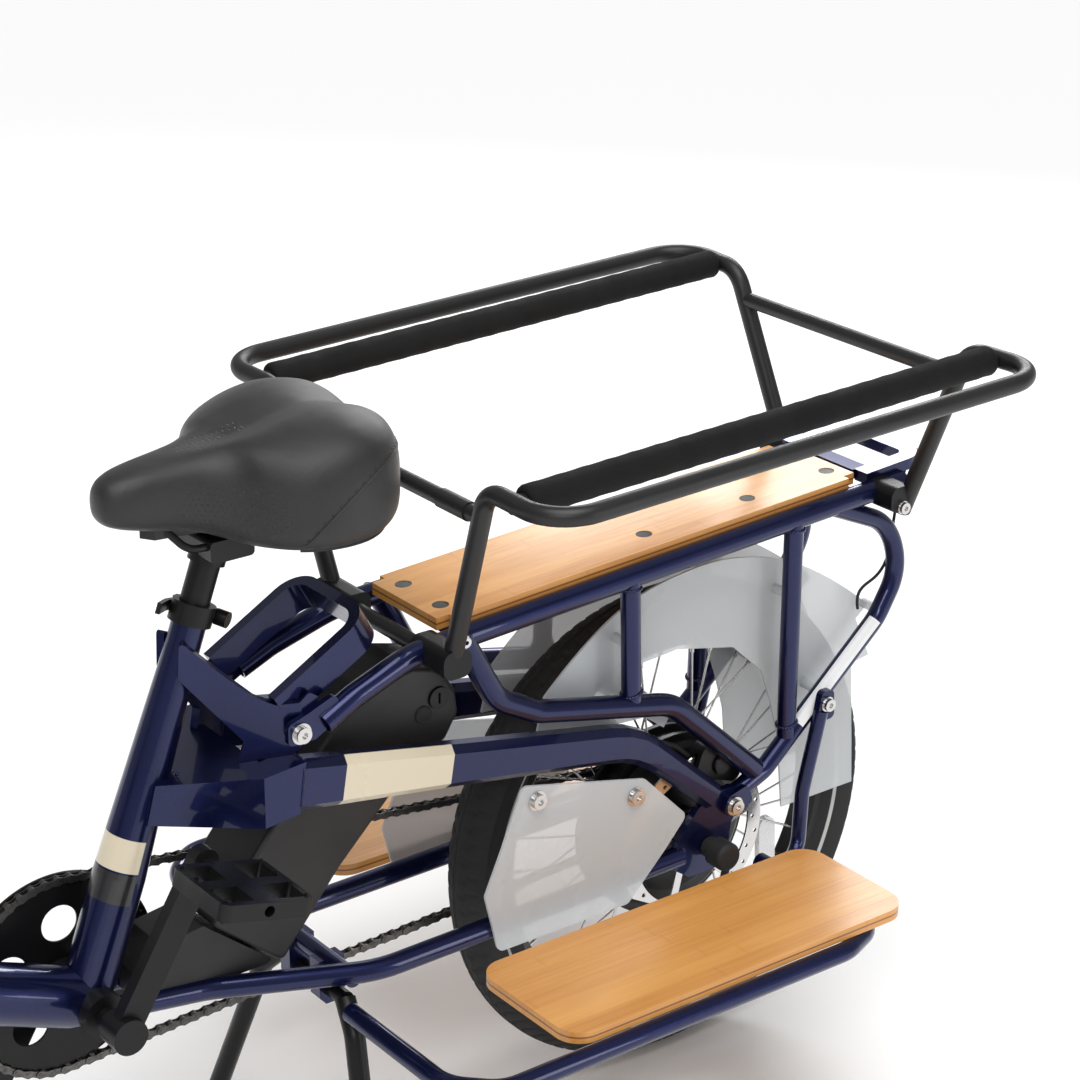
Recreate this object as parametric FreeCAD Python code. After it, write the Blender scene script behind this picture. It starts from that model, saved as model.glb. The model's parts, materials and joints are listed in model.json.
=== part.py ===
import FreeCAD, Part
import math
import os

# Longtail cargo bicycle with a hub motor, a rear deck with hand rails and two foot boards.
# Millimetres.  X forward, Y to the rider's left, Z up, the ground at Z = 0.
# Inside the functions, x is measured forward from the rear axle; at() moves it to the model's
# own origin, which lies under the middle of the bicycle.

# ---------------------------------------------------------------- wheels
WHEELBASE = 1270.0
TYRE_R = 260.0
TYRE_W = 58.0
BEAD_R = 203.0
RIM_R = 214.0
RIM_INNER_R = 193.0
RIM_W = 34.0
SPOKE_R = 1.1
SPOKES = 36
SPOKE_SWING = 0.5
SPOKE_SWING_R = 30.0
SPOKE_OFFSET = 3.6
MOTOR_R = 92.0
MOTOR_W = 46.0
MOTOR_FLANGE_R = 99.0
FRONT_HUB_R = 16.0
FRONT_FLANGE_R = 27.0
FRONT_FLANGE_Y = 27.0
ROTOR_R = 90.0
ROTOR_T = 2.0
ROTOR_Y = 52.0
FRONT_ROTOR_Y = 38.0
CALIPER_ANGLE = 110.0
AXLE_R = 6.0
RUN = 0.06

# ---------------------------------------------------------------- frame
BB_X = 665.0
BB_Z = 285.0
SEAT_LEAN = 20.25
SEAT_TUBE_LEN = 372.0
SEAT_TUBE_R = 24.0
SEAT_TUBE_TOP_R = 15.9
TAPER_FROM = 120.0
TAPER_TO = 335.0
SEATPOST_R = 13.6
COLLAR_R = 19.8
HEAD_ANGLE = 69.0
FORK_RAKE = 45.0
FORK_LEN = 370.0
HEAD_TUBE_LEN = 170.0
HEAD_TUBE_R = 24.0
HEAD_BORE_R = 17.0
STEERER_R = 14.3
DOWN_TUBE_R = 28.0
SHELL_R = 21.0
SHELL_BORE_R = 17.0
SHELL_W = 73.0
SPINDLE_R = 10.0
STAY_Y = 72.0
STAY_W = 25.0
STAY_WALL = 2.2
DROPOUT_Y = 72.0
DROPOUT_T = 8.0
YOKE_FRONT_X = 550.0
YOKE_FRONT_Y = 18.0
YOKE_BOLT_X = 470.0
YOKE_BOLT_Y = 69.0
PLATE_T = 8.0

# ---------------------------------------------------------------- rack
RAIL_Y = 66.0
RAIL_R = 11.2
DECK_FRONT_X = 315.0
DECK_REAR_X = -198.0
DECK_HALF_W = 60.0
DECK_T = 12.0
DECK_Z0 = 599.4
DECK_SLOPE = -0.0541
BRACE_X = (295.0, 176.0, 55.0, -76.0, -181.0)
SCREW_Y = 30.0
SCREW_X = (295.0, 55.0, -76.0, -181.0)
SCREW_HEAD_R = 8.0
SCREW_HEAD_T = 1.8
SCREW_SINK = 0.2
LOOP_REAR_X = -282.0
SIDE_Y = 71.0
SIDE_R = 11.5
TAIL_R = 9.8
STRUT_R = 9.8

# ---------------------------------------------------------------- passenger rails
HOOP_R = 9.0
HOOP_Y = 264.0
GRIP_Y = 201.5
GRIP_R = 14.6
GRIP_BAR_R = 8.0
CROSS_R = 7.8
HOOP_FRONT_X = 343.0
HOOP_REAR_X = -236.0
HOOP_FRONT_Z = 748.0
HOOP_REAR_Z = 764.5
GRIP_FRONT_Z = 745.0
GRIP_REAR_Z = 764.5
LEG_TOP_Y = 156.0
LEG_FOOT_Y = 96.0
CLAMP_X = 31.0
CLAMP_Z = 27.0
HOOP_BEND = 42.0

# ---------------------------------------------------------------- foot boards, stand, drive
BOARD_Z = 250.0
BOARD_T = 12.0
BOARD_Y_IN = 118.0
BOARD_Y_OUT = 268.0
BOARD_REAR_X = -95.0
BOARD_FRONT_X = 320.0
BOARD_TUBE_R = 9.5
CRANK_LEN = 170.0
CRANK_Y = 82.0
CRANK_ANGLE = 117.0
PEDAL_Y = 152.0
PEDAL_BORE = 5.0
CHAINRING_R = 92.0
SPROCKET_R = 38.0
CHAIN_Y = -46.0
STAND_X = 425.0
STAND_PIVOT_Z = 225.0
STAND_LUG_Y = 34.0
STAND_PIVOT_R = 8.0

# ---------------------------------------------------------------- cockpit
BAR_X = 985.0
BAR_Z = 985.0
BAR_R = 11.1
BAR_CLAMP_R = 12.7
GRIP_END_X = 905.0
GRIP_END_Y = 335.0
BAR_TOP_Z = 1045.0

# ---------------------------------------------------------------- guards, battery, seat clamp
SKIRT_Y = 42.0
SKIRT_T = 2.5
GUARD_Y = STAY_Y + STAY_W / 2
BATTERY_HALF_W = 38.0
LOCK_X = 304.0
LOCK_Z = 495.0
LOCK_R = 10.6
QR_TURN = 34.0
QR_BACK = -23.0
QR_S = SEAT_TUBE_LEN - 8.0
BUTTON_X = BAR_X - 26.0
BUTTON_Y = 31.0
BUTTON_Z = BAR_Z + 52.0
HOOP_BENDS = [30.0, HOOP_BEND, HOOP_BEND, 30.0]
BOARD_BENDS = [30.0, 40.0, 40.0, 40.0]

# ---------------------------------------------------------------- front fender, rear light, saddle shell
FENDER_GAP = 12.0
FENDER_T = 2.5
LIGHT_REAR_X = -294.0
LIGHT_T = 8.0
LIGHT_HALF_W = 50.0
LIGHT_H = 11.0
LIGHT_Z = 602.0
SHELL_Z = 708.0
SHELL_T = 18.0
FRONT_X = WHEELBASE
MID_X = (WHEELBASE + TYRE_R + FENDER_GAP + FENDER_T + LIGHT_REAR_X) / 2.0


def at(x, y, z):
    """A point, from its distance ahead of the rear axle."""
    return FreeCAD.Vector(x - MID_X, y, z)


def direction(x, y, z):
    """A unit vector."""
    return FreeCAD.Vector(x, y, z).normalize()


def rod(a, b, r):
    """A round bar from a to b."""
    span = b - a
    return Part.makeCylinder(r, span.Length, a, span)


def ring(a, b, r_out, r_in):
    """A round sleeve from a to b."""
    span = b - a
    over = FreeCAD.Vector(span).normalize()
    return rod(a, b, r_out).cut(rod(a - over, b + over, r_in))


def route(points, bend):
    """Straight runs joined by tangent arcs; bend is one radius or one for each corner."""
    radii = [bend] * (len(points) - 2) if isinstance(bend, (int, float)) else bend
    edges = []
    last = points[0]
    for corner, before, after, radius in zip(points[1:-1], points[:-2], points[2:], radii):
        arrive = (corner - before).normalize()
        leave = (after - corner).normalize()
        turn = arrive.getAngle(leave)
        cut = radius * math.tan(turn / 2.0)
        start = corner - arrive * cut
        end = corner + leave * cut
        middle = corner + (leave - arrive).normalize() * (radius / math.cos(turn / 2.0) - radius)
        edges.append(Part.makeLine(last, start))
        edges.append(Part.Arc(start, middle, end).toShape())
        last = end
    edges.append(Part.makeLine(last, points[-1]))
    return Part.Wire(edges)


def pipe(points, r, bend=40.0):
    """A round bar bent along straight runs and arcs."""
    start = (points[1] - points[0]).normalize()
    section = Part.Face(Part.Wire(Part.makeCircle(r, points[0], start)))
    if len(points) == 2:
        return rod(points[0], points[1], r)
    return route(points, bend).makePipe(section)


def tube(points, r, wall, bend=40.0):
    """A hollow tube, open at both ends."""
    return pipe(points, r, bend).cut(pipe(points, r - wall, bend))


def strip(points, wide, thick, wide_way, bend=20.0):
    """A flat bar bent along a route; wide_way is the direction of its width at the start."""
    ahead = (points[1] - points[0]).normalize()
    side = ahead.cross(wide_way).normalize() * (thick / 2.0)
    up = side.cross(ahead).normalize() * (wide / 2.0)
    corner = points[0]
    loop = [corner - side - up, corner + side - up, corner + side + up, corner - side + up]
    section = Part.Face(Part.makePolygon(loop + loop[:1]))
    return route(points, bend).makePipe(section)


def outline_wire(points, y):
    """A closed outline in a plane of constant y, from (x, z) corners."""
    loop = [at(x, y, z) for x, z in points]
    return Part.makePolygon(loop + loop[:1])


def plate(points, y, thick):
    """A flat plate with (x, z) corners, from y to y + thick."""
    return Part.Face(outline_wire(points, y)).extrude(FreeCAD.Vector(0, thick, 0))


def round_corners(shape, radius, way):
    """Rounds the straight edges of a plate that run along the direction way."""
    edges = []
    for edge in shape.Edges:
        if len(edge.Vertexes) != 2:
            continue
        run = edge.Vertexes[1].Point - edge.Vertexes[0].Point
        if run.Length > 0.1 and abs(abs(run.normalize().dot(way)) - 1.0) < 1e-6:
            edges.append(edge)
    return shape.makeFillet(radius, edges)


def turned(profile, centre):
    """Turns an outline of (radius, y) corners about an axle through centre."""
    loop = [FreeCAD.Vector(centre.x + r, centre.y + y, centre.z) for r, y in profile]
    face = Part.Face(Part.makePolygon(loop + loop[:1]))
    return face.revolve(centre, FreeCAD.Vector(0, 1, 0), 360)


def mirrored(shape):
    """The same shape on the other side of the bicycle."""
    return shape.mirror(FreeCAD.Vector(0, 0, 0), FreeCAD.Vector(0, 1, 0))


def pair(shape):
    """A left-hand piece and its right-hand twin."""
    return Part.makeCompound(shape.Solids + mirrored(shape).Solids)


def group(*shapes):
    """All solids of the shapes, kept apart."""
    solids = []
    for shape in shapes:
        solids.extend(shape.Solids)
    return Part.makeCompound(solids)


def fused(*shapes):
    """One solid from several that touch."""
    whole = shapes[0]
    if len(shapes) > 1:
        whole = whole.multiFuse(list(shapes[1:]))
    return whole.removeSplitter()


def largest(shape):
    """The biggest solid left after a cut."""
    return max(shape.Solids, key=lambda solid: solid.Volume)


def bolt(base, way, r=4.0, length=14.0, head_r=7.5, head_t=5.0, washer_r=10.0):
    """A button head bolt with its washer; base lies on the clamped face, way points out."""
    washer = rod(base, base + way * 1.6, washer_r)
    head = rod(base + way * 1.6, base + way * (1.6 + head_t), head_r)
    socket = rod(base + way * (head_t - 1.2), base + way * (2.6 + head_t), head_r * 0.42)
    shank = rod(base - way * length, base + way, r)
    return fused(washer, head, shank).cut(socket)


LEFT = FreeCAD.Vector(0, 1, 0)
UP = FreeCAD.Vector(0, 0, 1)
FORWARD = FreeCAD.Vector(1, 0, 0)
BB = at(BB_X, 0, BB_Z)
REAR_AXLE = at(0, 0, TYRE_R)
FRONT_AXLE = at(FRONT_X, 0, TYRE_R)
SEAT_UP = direction(-math.sin(math.radians(SEAT_LEAN)), 0, math.cos(math.radians(SEAT_LEAN)))
HEAD_UP = direction(-math.cos(math.radians(HEAD_ANGLE)), 0, math.sin(math.radians(HEAD_ANGLE)))
HEAD_FRONT = direction(math.sin(math.radians(HEAD_ANGLE)), 0, math.cos(math.radians(HEAD_ANGLE)))
STEER_FOOT = FRONT_AXLE - HEAD_FRONT * FORK_RAKE
HEAD_LOW = STEER_FOOT + HEAD_UP * (FORK_LEN + 10.0)
HEAD_TOP = HEAD_LOW + HEAD_UP * HEAD_TUBE_LEN
LOCK = at(LOCK_X, BATTERY_HALF_W, LOCK_Z)
BUTTON = at(BUTTON_X, BUTTON_Y, BUTTON_Z)


def on_seat(s, forward=0.0, side=0.0):
    """A point s mm up the seat tube's axis from the bottom bracket."""
    ahead = direction(SEAT_UP.z, 0, -SEAT_UP.x)
    return BB + SEAT_UP * s + ahead * forward + LEFT * side


def on_steer(s, forward=0.0, side=0.0):
    """A point s mm up the steering axis from the level of the front axle."""
    return STEER_FOOT + HEAD_UP * s + HEAD_FRONT * forward + LEFT * side


def deck_z(x):
    """Height of the deck's top face."""
    return DECK_Z0 + DECK_SLOPE * x


# ================================================================ frame
def seat_tube():
    """Tapered seat tube with the seatpost's bore."""
    lower = rod(on_seat(0), on_seat(TAPER_FROM), SEAT_TUBE_R)
    taper = Part.makeCone(SEAT_TUBE_R, SEAT_TUBE_TOP_R, TAPER_TO - TAPER_FROM, on_seat(TAPER_FROM), SEAT_UP)
    upper = rod(on_seat(TAPER_TO), on_seat(SEAT_TUBE_LEN), SEAT_TUBE_TOP_R)
    bore = rod(on_seat(60), on_seat(SEAT_TUBE_LEN + 5), SEATPOST_R + RUN)
    shell = rod(at(BB_X, -SHELL_W / 2, BB_Z), at(BB_X, SHELL_W / 2, BB_Z), SHELL_R)
    return fused(lower, taper, upper).cut(fused(bore, shell))


def seat_tube_solid():
    """The seat tube without its bore, used to trim what is welded to it."""
    lower = rod(on_seat(-20), on_seat(TAPER_FROM), SEAT_TUBE_R)
    taper = Part.makeCone(SEAT_TUBE_R, SEAT_TUBE_TOP_R, TAPER_TO - TAPER_FROM, on_seat(TAPER_FROM), SEAT_UP)
    return fused(lower, taper)


def bottom_bracket_shell():
    """Cross shell that carries the crank bearings."""
    left = at(BB_X, SHELL_W / 2, BB_Z)
    right = at(BB_X, -SHELL_W / 2, BB_Z)
    return ring(right, left, SHELL_R, SHELL_BORE_R)


def bearing_cups():
    """Bottom bracket cups, each pressed in the shell and carrying the spindle."""
    end = at(BB_X, SHELL_W / 2 + 4.0, BB_Z)
    inner = at(BB_X, SHELL_W / 2 - 14.0, BB_Z)
    lip = ring(at(BB_X, SHELL_W / 2, BB_Z), end, SHELL_R, SPINDLE_R + RUN)
    return pair(fused(ring(inner, end, SHELL_BORE_R, SPINDLE_R + RUN), lip))


def down_tube():
    """Low step-through tube from the bottom bracket to the head tube."""
    foot = at(BB_X, 0, BB_Z)
    knee = at(BB_X + 130.0, 0, BB_Z + 52.0)
    top = HEAD_LOW + HEAD_UP * 62.0
    body = tube([foot, knee, top], DOWN_TUBE_R, 2.6, 220.0)
    head = rod(HEAD_LOW, HEAD_TOP, HEAD_TUBE_R)
    shell = rod(at(BB_X, -SHELL_W, BB_Z), at(BB_X, SHELL_W, BB_Z), SHELL_R)
    seat = rod(on_seat(-30), on_seat(120), SEAT_TUBE_R)
    keep = body.cut(fused(head, shell)).cut(seat)
    return largest(keep)


def head_tube():
    """Head tube between the two headset cups."""
    return ring(HEAD_LOW, HEAD_TOP, HEAD_TUBE_R, HEAD_BORE_R)


def headset_cups():
    """Bearing cups at both ends of the head tube."""
    lower = fused(ring(HEAD_LOW - HEAD_UP * 8, HEAD_LOW, HEAD_TUBE_R + 1, STEERER_R + RUN),
                  ring(HEAD_LOW - HEAD_UP * 8, HEAD_LOW + HEAD_UP * 12, HEAD_BORE_R, STEERER_R + RUN))
    upper = fused(ring(HEAD_TOP, HEAD_TOP + HEAD_UP * 10, HEAD_TUBE_R + 1, STEERER_R + RUN),
                  ring(HEAD_TOP - HEAD_UP * 12, HEAD_TOP + HEAD_UP * 10, HEAD_BORE_R, STEERER_R + RUN))
    return group(lower, upper)


def stay_section(x, z, slope, high, wide):
    """Eight-sided section of a main stay, square to its run."""
    lean = math.radians(slope)
    up = FreeCAD.Vector(-math.sin(lean), 0, math.cos(lean))
    bevel = 0.28 * wide
    half_w = wide / 2.0
    half_h = high / 2.0
    corners = [(-half_w, -half_h + bevel), (-half_w + bevel, -half_h), (half_w - bevel, -half_h),
               (half_w, -half_h + bevel), (half_w, half_h - bevel), (half_w - bevel, half_h),
               (-half_w + bevel, half_h), (-half_w, half_h - bevel)]
    centre = at(x, STAY_Y, z)
    loop = [centre + LEFT * side + up * rise for side, rise in corners]
    return Part.makePolygon(loop + loop[:1])


def stay_left(wall=0.0):
    """The left main stay as a solid bar, or its hollow when a wall is given."""
    stations = [(482, 474, 10.3, 50, 25), (300, 441, 10.3, 42, 25), (130, 410, 10.3, 37, 25),
                (112, 405.5, 15, 36, 25), (95, 398, 25, 34, 24), (80, 388, 36, 32, 24),
                (66, 376.5, 41.5, 30, 23), (20, 335.8, 41.5, 28, 22), (-4, 314.5, 41.5, 28, 20)]
    sections = [stay_section(x, z, slope, high - 2 * wall, wide - 2 * wall)
                for x, z, slope, high, wide in stations]
    return Part.makeLoft(sections, True, True)


def main_stays():
    """Deep tapered stays from the lifting yoke to the dropouts."""
    return pair(stay_left().cut(dropout_left()).cut(stay_left(STAY_WALL)))


def lower_stays():
    """Round stays from the bottom bracket back to the dropouts, clear of the tyre."""
    left = tube(lower_stay_path(), 10.5, 1.8, [90.0, 150.0])
    shell = rod(at(BB_X, -SHELL_W, BB_Z), at(BB_X, SHELL_W, BB_Z), SHELL_R)
    left = left.cut(shell).cut(seat_tube_solid()).cut(dropout_left()).cut(stay_left())
    return pair(largest(left))


def stay_tubes():
    """Both lower stays as solid bars, to trim what meets them."""
    return pair(pipe(lower_stay_path(), 10.5, [90.0, 150.0]))


def lower_stay_path():
    """Centre line of the left lower stay."""
    return [at(BB_X - 6, 24, BB_Z - 4), at(BB_X - 110, 27, 268), at(400, STAY_Y, 254), at(34, STAY_Y, 258)]


def dropout_left():
    """Left rear dropout plate."""
    shape = [(-46, 296), (-32, 318), (-6, 318), (14, 306), (40, 276), (44, 246), (24, 232), (-14, 232),
             (-26, 250), (-30, 280)]
    body = plate(shape, DROPOUT_Y - DROPOUT_T / 2, DROPOUT_T)
    body = round_corners(body, 5.0, LEFT)
    slot = rod(at(0, 0, TYRE_R), at(0, 120, TYRE_R), AXLE_R)
    rack_hole = rod(at(-27, 0, 300), at(-27, 120, 300), 4.2)
    return body.cut(slot).cut(rack_hole)


def dropouts():
    """Rear dropout plates with the axle hole and the rack's threaded hole."""
    return pair(dropout_left())


def yoke_plate_outline():
    """Outline of one yoke plate, open towards the seat tube below its upper arm."""
    return [(560, 613), (528, 579), (505, 556), (488, 547), (470, 548), (462, 556), (448, 544), (466, 512),
            (474, 496), (480, 470), (516, 470), (518, 496), (513, 513), (549, 560), (562, 577)]


def yoke_plates():
    """Side plates of the lifting yoke, splayed back from the seat tube to the rack's front bolts."""
    run = YOKE_FRONT_X - YOKE_BOLT_X
    splay = math.atan2(YOKE_BOLT_Y - YOKE_FRONT_Y - PLATE_T, run)
    reach = math.cos(splay)
    flat = [(YOKE_FRONT_X - (YOKE_FRONT_X - x) / reach, z) for x, z in yoke_plate_outline()]
    body = round_corners(plate(flat, YOKE_FRONT_Y, PLATE_T), 3.0, LEFT)
    body.rotate(at(YOKE_FRONT_X, YOKE_FRONT_Y, 0), UP, -math.degrees(splay))
    outside = Part.makeBox(200, 60, 300, at(YOKE_FRONT_X - 200, YOKE_BOLT_Y, 400))
    body = body.cut(seat_tube_solid()).cut(stay_left()).cut(outside)
    bolt_hole = rod(at(477, 40, 522), at(477, 90, 522), 4.2)
    return pair(largest(body.cut(bolt_hole)))


def yoke_box():
    """Closed lower box of the yoke, from the seat tube out to both main stays."""
    wide = STAY_Y + STAY_W / 2.0
    near_tube = [at(596, -24, 485), at(596, 24, 485), at(606, 24, 449), at(606, -24, 449)]
    middle = [at(520, 3 - wide, 493), at(520, wide - 3, 493), at(520, wide - 3, 444), at(520, 3 - wide, 444)]
    rear = [at(478, -wide, 498.5), at(478, wide, 498.5), at(486, wide, 449.5), at(486, -wide, 449.5)]
    wires = [Part.makePolygon(loop + loop[:1]) for loop in (near_tube, middle, rear)]
    body = Part.makeLoft(wires, True, True)
    recess = plate([(440, 400), (440, 560), (508, 560), (508, 400)], -54, 108)
    stays = group(stay_left(), mirrored(stay_left()))
    return largest(body.cut(recess).cut(seat_tube_solid()).cut(stays).cut(yoke_plates()))


def lift_handle():
    """U-shaped flat-bar handle that rises to the rear from both yoke plates."""
    low = [at(487, 55, 541), at(388, 55, 597), at(388, -55, 597), at(487, -55, 541)]
    across = (low[1] - low[0]).cross(LEFT).normalize()
    return strip(low, 30.0, 11.0, across, 24.0).cut(yoke_plates())


# ================================================================ rack
def rail_path(side):
    """Centre line of one deck rail, from the yoke bolt up and then back along the deck."""
    drop = DECK_T - 4.0 + RAIL_R
    return [at(452, side * 72.0, 524), at(418, side * 70.0, 540), at(352, side * RAIL_Y, deck_z(352) - drop),
            at(-252, side * RAIL_Y, deck_z(-252) - drop)]


def rack_rails():
    """Deck rails, each with its flattened front tab for the yoke bolt."""
    path = rail_path(1)
    body = tube(path, RAIL_R, 2.0, [60.0, 120.0])
    tab = plate([(490, 512), (490, 532), (466, 540), (440, 550), (432, 528), (462, 512)], 72.0 - 3.0, 6.0)
    tab = round_corners(tab, 5.0, LEFT)
    hole = rod(at(477, 50, 522), at(477, 90, 522), 4.2)
    return pair(fused(body, tab).cut(hole))


def rail_solid(side):
    """A deck rail without its bore."""
    return pipe(rail_path(side), RAIL_R, [60.0, 120.0])


def rail_cutters():
    """Both deck rails without their bores."""
    return group(rail_solid(1), rail_solid(-1))


def rear_loop():
    """Flat-bar loop that closes the rack behind the deck."""
    top_z = deck_z(-240) - 6
    y = RAIL_Y - 12.0
    low = [at(-206, y, top_z - 2), at(LOOP_REAR_X, y, top_z + 3), at(LOOP_REAR_X, -y, top_z + 3),
           at(-206, -y, top_z - 2)]
    loop = strip(low, 12.0, 18.0, UP, 18.0)
    front = Part.makeBox(20, 2 * y - 16, 10, at(-222, -y + 8, top_z - 6))
    return fused(loop, front).cut(rail_cutters())


def side_path(side):
    """Lower side tube: down from the rail, back above the stay, then down to the dropout."""
    y = side * SIDE_Y
    return [at(300, side * 68, 566), at(262, y, 494), at(214, y, 468), at(50, y, 430), at(-62, y, 326)]


def rack_side_tubes():
    """Lower side tubes of the rack."""
    body = tube(side_path(1), SIDE_R, 2.0, [40.0, 40.0, 60.0])
    return pair(body.cut(rail_cutters()))


def side_solid(side):
    """A lower side tube without its bore."""
    return pipe(side_path(side), SIDE_R, [40.0, 40.0, 60.0])


def tail_path(side):
    """Curved tail tube from the rail's end down and forward to the dropout bolt."""
    y = side * SIDE_Y
    return [at(-160, side * RAIL_Y, deck_z(-160) - 22), at(-236, side * RAIL_Y, 552), at(-250, y, 500),
            at(-222, y, 452), at(-75, y, 322), at(-36, y, 306)]


def rack_tail_tubes():
    """Curved tail tubes of the rack."""
    body = tube(tail_path(1), TAIL_R, 2.0, [55.0, 60.0, 60.0, 30.0])
    cutter = group(rail_solid(1), side_solid(1), dropout_left())
    body = body.cut(cutter)
    body = largest(body)
    return pair(body)


def tail_solid(side):
    """A tail tube without its bore."""
    return pipe(tail_path(side), TAIL_R, [55.0, 60.0, 60.0, 30.0])


def rack_tabs():
    """Bolted foot of each tail tube, lapped on the outside of the dropout plate."""
    y = DROPOUT_Y + DROPOUT_T / 2
    tab = plate([(-52, 300), (-44, 318), (-20, 312), (-14, 298), (-22, 288), (-38, 288)], y, 7.0)
    tab = round_corners(tab, 4.0, LEFT)
    tab = tab.cut(rod(at(-27, 50, 300), at(-27, 120, 300), 4.2))
    return pair(tab.cut(group(tail_solid(1), side_solid(1))))


def rack_struts():
    """Upright struts between the deck rail and the side tube or the tail tube."""
    solids = []
    for top_x, foot_x, foot_z in ((101, 100, 446), (-106, -104, 352)):
        body = tube([at(top_x, RAIL_Y + 1, deck_z(top_x) - 20), at(foot_x, SIDE_Y, foot_z)], STRUT_R, 1.8)
        body = body.cut(group(rail_solid(1), side_solid(1), tail_solid(1)))
        solids.append(largest(body))
    return pair(Part.makeCompound(solids))


def rack_cross_braces():
    """Flat braces under the deck that carry its screws."""
    solids = []
    for x in BRACE_X:
        z = deck_z(x) - DECK_T - 6.2
        bar = Part.makeBox(24, 2 * RAIL_Y, 5, at(x - 12, -RAIL_Y, z))
        solids.append(bar.cut(rail_cutters()))
    return group(*solids)


def deck():
    """Bamboo deck board with clipped front and rear corners."""
    front, rear, half = DECK_FRONT_X, DECK_REAR_X, DECK_HALF_W
    shape = [(rear, -half + 8), (rear + 14, -half + 8), (rear + 14, -half), (front - 14, -half),
             (front - 14, -half + 8), (front, -half + 8), (front, half - 8), (front - 14, half - 8),
             (front - 14, half), (rear + 14, half), (rear + 14, half - 8), (rear, half - 8)]
    loop = [at(x, y, deck_z(x) - DECK_T) for x, y in shape]
    body = Part.Face(Part.makePolygon(loop + loop[:1])).extrude(FreeCAD.Vector(0, 0, DECK_T))
    holes = []
    for x, y in deck_screw_places():
        floor = deck_z(x) - SCREW_HEAD_T - SCREW_SINK
        hole = rod(at(x, y, deck_z(x) - DECK_T - 20), at(x, y, floor + 1), 5.0)
        holes.append(fused(hole, rod(at(x, y, floor), at(x, y, floor + 20), SCREW_HEAD_R + RUN)))
    return body.cut(group(*holes)).cut(rail_cutters())


def deck_screw_places():
    """Places of the deck screws."""
    return [(x, side * SCREW_Y) for x in SCREW_X for side in (-1, 1)]


def deck_screws():
    """Black flat-head screws sunk in the deck, which hold it to its braces."""
    solids = []
    for x, y in deck_screw_places():
        top = deck_z(x) - SCREW_SINK
        head = rod(at(x, y, top - SCREW_HEAD_T), at(x, y, top), SCREW_HEAD_R)
        shank = rod(at(x, y, top - DECK_T + 0.4), at(x, y, top - 1), 4.8)
        solids.append(fused(head, shank).cut(deck()))
    return group(*solids)


# ================================================================ passenger rails
def hoop_points(side):
    """One rail: front foot, front leg, out, back along the side, in, and down to the rear foot."""
    front, rear = HOOP_FRONT_X, HOOP_REAR_X
    return [at(329, side * LEG_FOOT_Y, 560), at(341, side * (LEG_TOP_Y + 10), HOOP_FRONT_Z),
            at(front, side * HOOP_Y, HOOP_FRONT_Z), at(rear, side * HOOP_Y, HOOP_REAR_Z),
            at(rear + 8, side * (LEG_TOP_Y + 13), HOOP_REAR_Z), at(rear, side * (LEG_FOOT_Y - 11), 572)]


def hoop_solid(side):
    """A passenger rail without its bore."""
    return pipe(hoop_points(side), HOOP_R, HOOP_BENDS)


def hoops():
    """Left and right passenger rails."""
    return pair(tube(hoop_points(1), HOOP_R, 2.0, HOOP_BENDS))


def hoop_cross_tubes():
    """Cross tubes that tie the two rails together: front, rear and low front."""
    cutter = group(hoop_solid(1), hoop_solid(-1))
    solids = []
    for x, y, z in ((339, 152, 719), (-229, 150, 735)):
        body = rod(at(x, -y, z), at(x, y, z), CROSS_R).cut(cutter)
        solids.append(largest(body))
    return group(*solids)


def cross_tube_sleeve():
    """Sleeve over the joint of the front cross tube."""
    return ring(at(339, 96, 719), at(339, 138, 719), CROSS_R + 1.2, CROSS_R)


def low_cross_tube():
    """Low front cross tube between the two front clamps."""
    return rod(at(334, -66, 560), at(334, 66, 560), CROSS_R).cut(rail_cutters()).cut(deck())


def grip_bars():
    """Inner hand bars, between the front and rear runs of each rail."""
    front = at(HOOP_FRONT_X, GRIP_Y, GRIP_FRONT_Z)
    rear = at(HOOP_REAR_X, GRIP_Y, GRIP_REAR_Z)
    return pair(largest(rod(rear, front, GRIP_BAR_R).cut(hoop_solid(1))))


def foam_grips():
    """Foam sleeves on the hand bars."""
    way = direction(HOOP_FRONT_X - HOOP_REAR_X, 0, GRIP_FRONT_Z - GRIP_REAR_Z)
    middle = at((HOOP_FRONT_X + HOOP_REAR_X) / 2, GRIP_Y, (GRIP_FRONT_Z + GRIP_REAR_Z) / 2)
    half = (HOOP_FRONT_X - HOOP_REAR_X) / 2 - HOOP_R - 5.0
    return pair(ring(middle - way * half, middle + way * half, GRIP_R, GRIP_BAR_R))


def rail_clamps():
    """Black split brackets that hold the rails' feet to the deck rails."""
    solids = []
    for x, foot_y, foot_z in ((331, LEG_FOOT_Y + 2, 563), (-222, LEG_FOOT_Y - 7, 574)):
        z = deck_z(x) - 20.7
        corner = at(x - CLAMP_X / 2, RAIL_Y - 12, z - CLAMP_Z / 2)
        block = Part.makeBox(CLAMP_X, foot_y - RAIL_Y + 22, CLAMP_Z, corner)
        block = round_corners(block, 10.0, LEFT)
        solids.append(block)
    body = Part.makeCompound(solids)
    taken = group(rail_solid(1), hoop_solid(1), tail_solid(1), side_solid(1), deck(), low_cross_tube(),
                  rear_loop(), rack_cross_braces())
    return pair(body.cut(taken))


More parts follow.
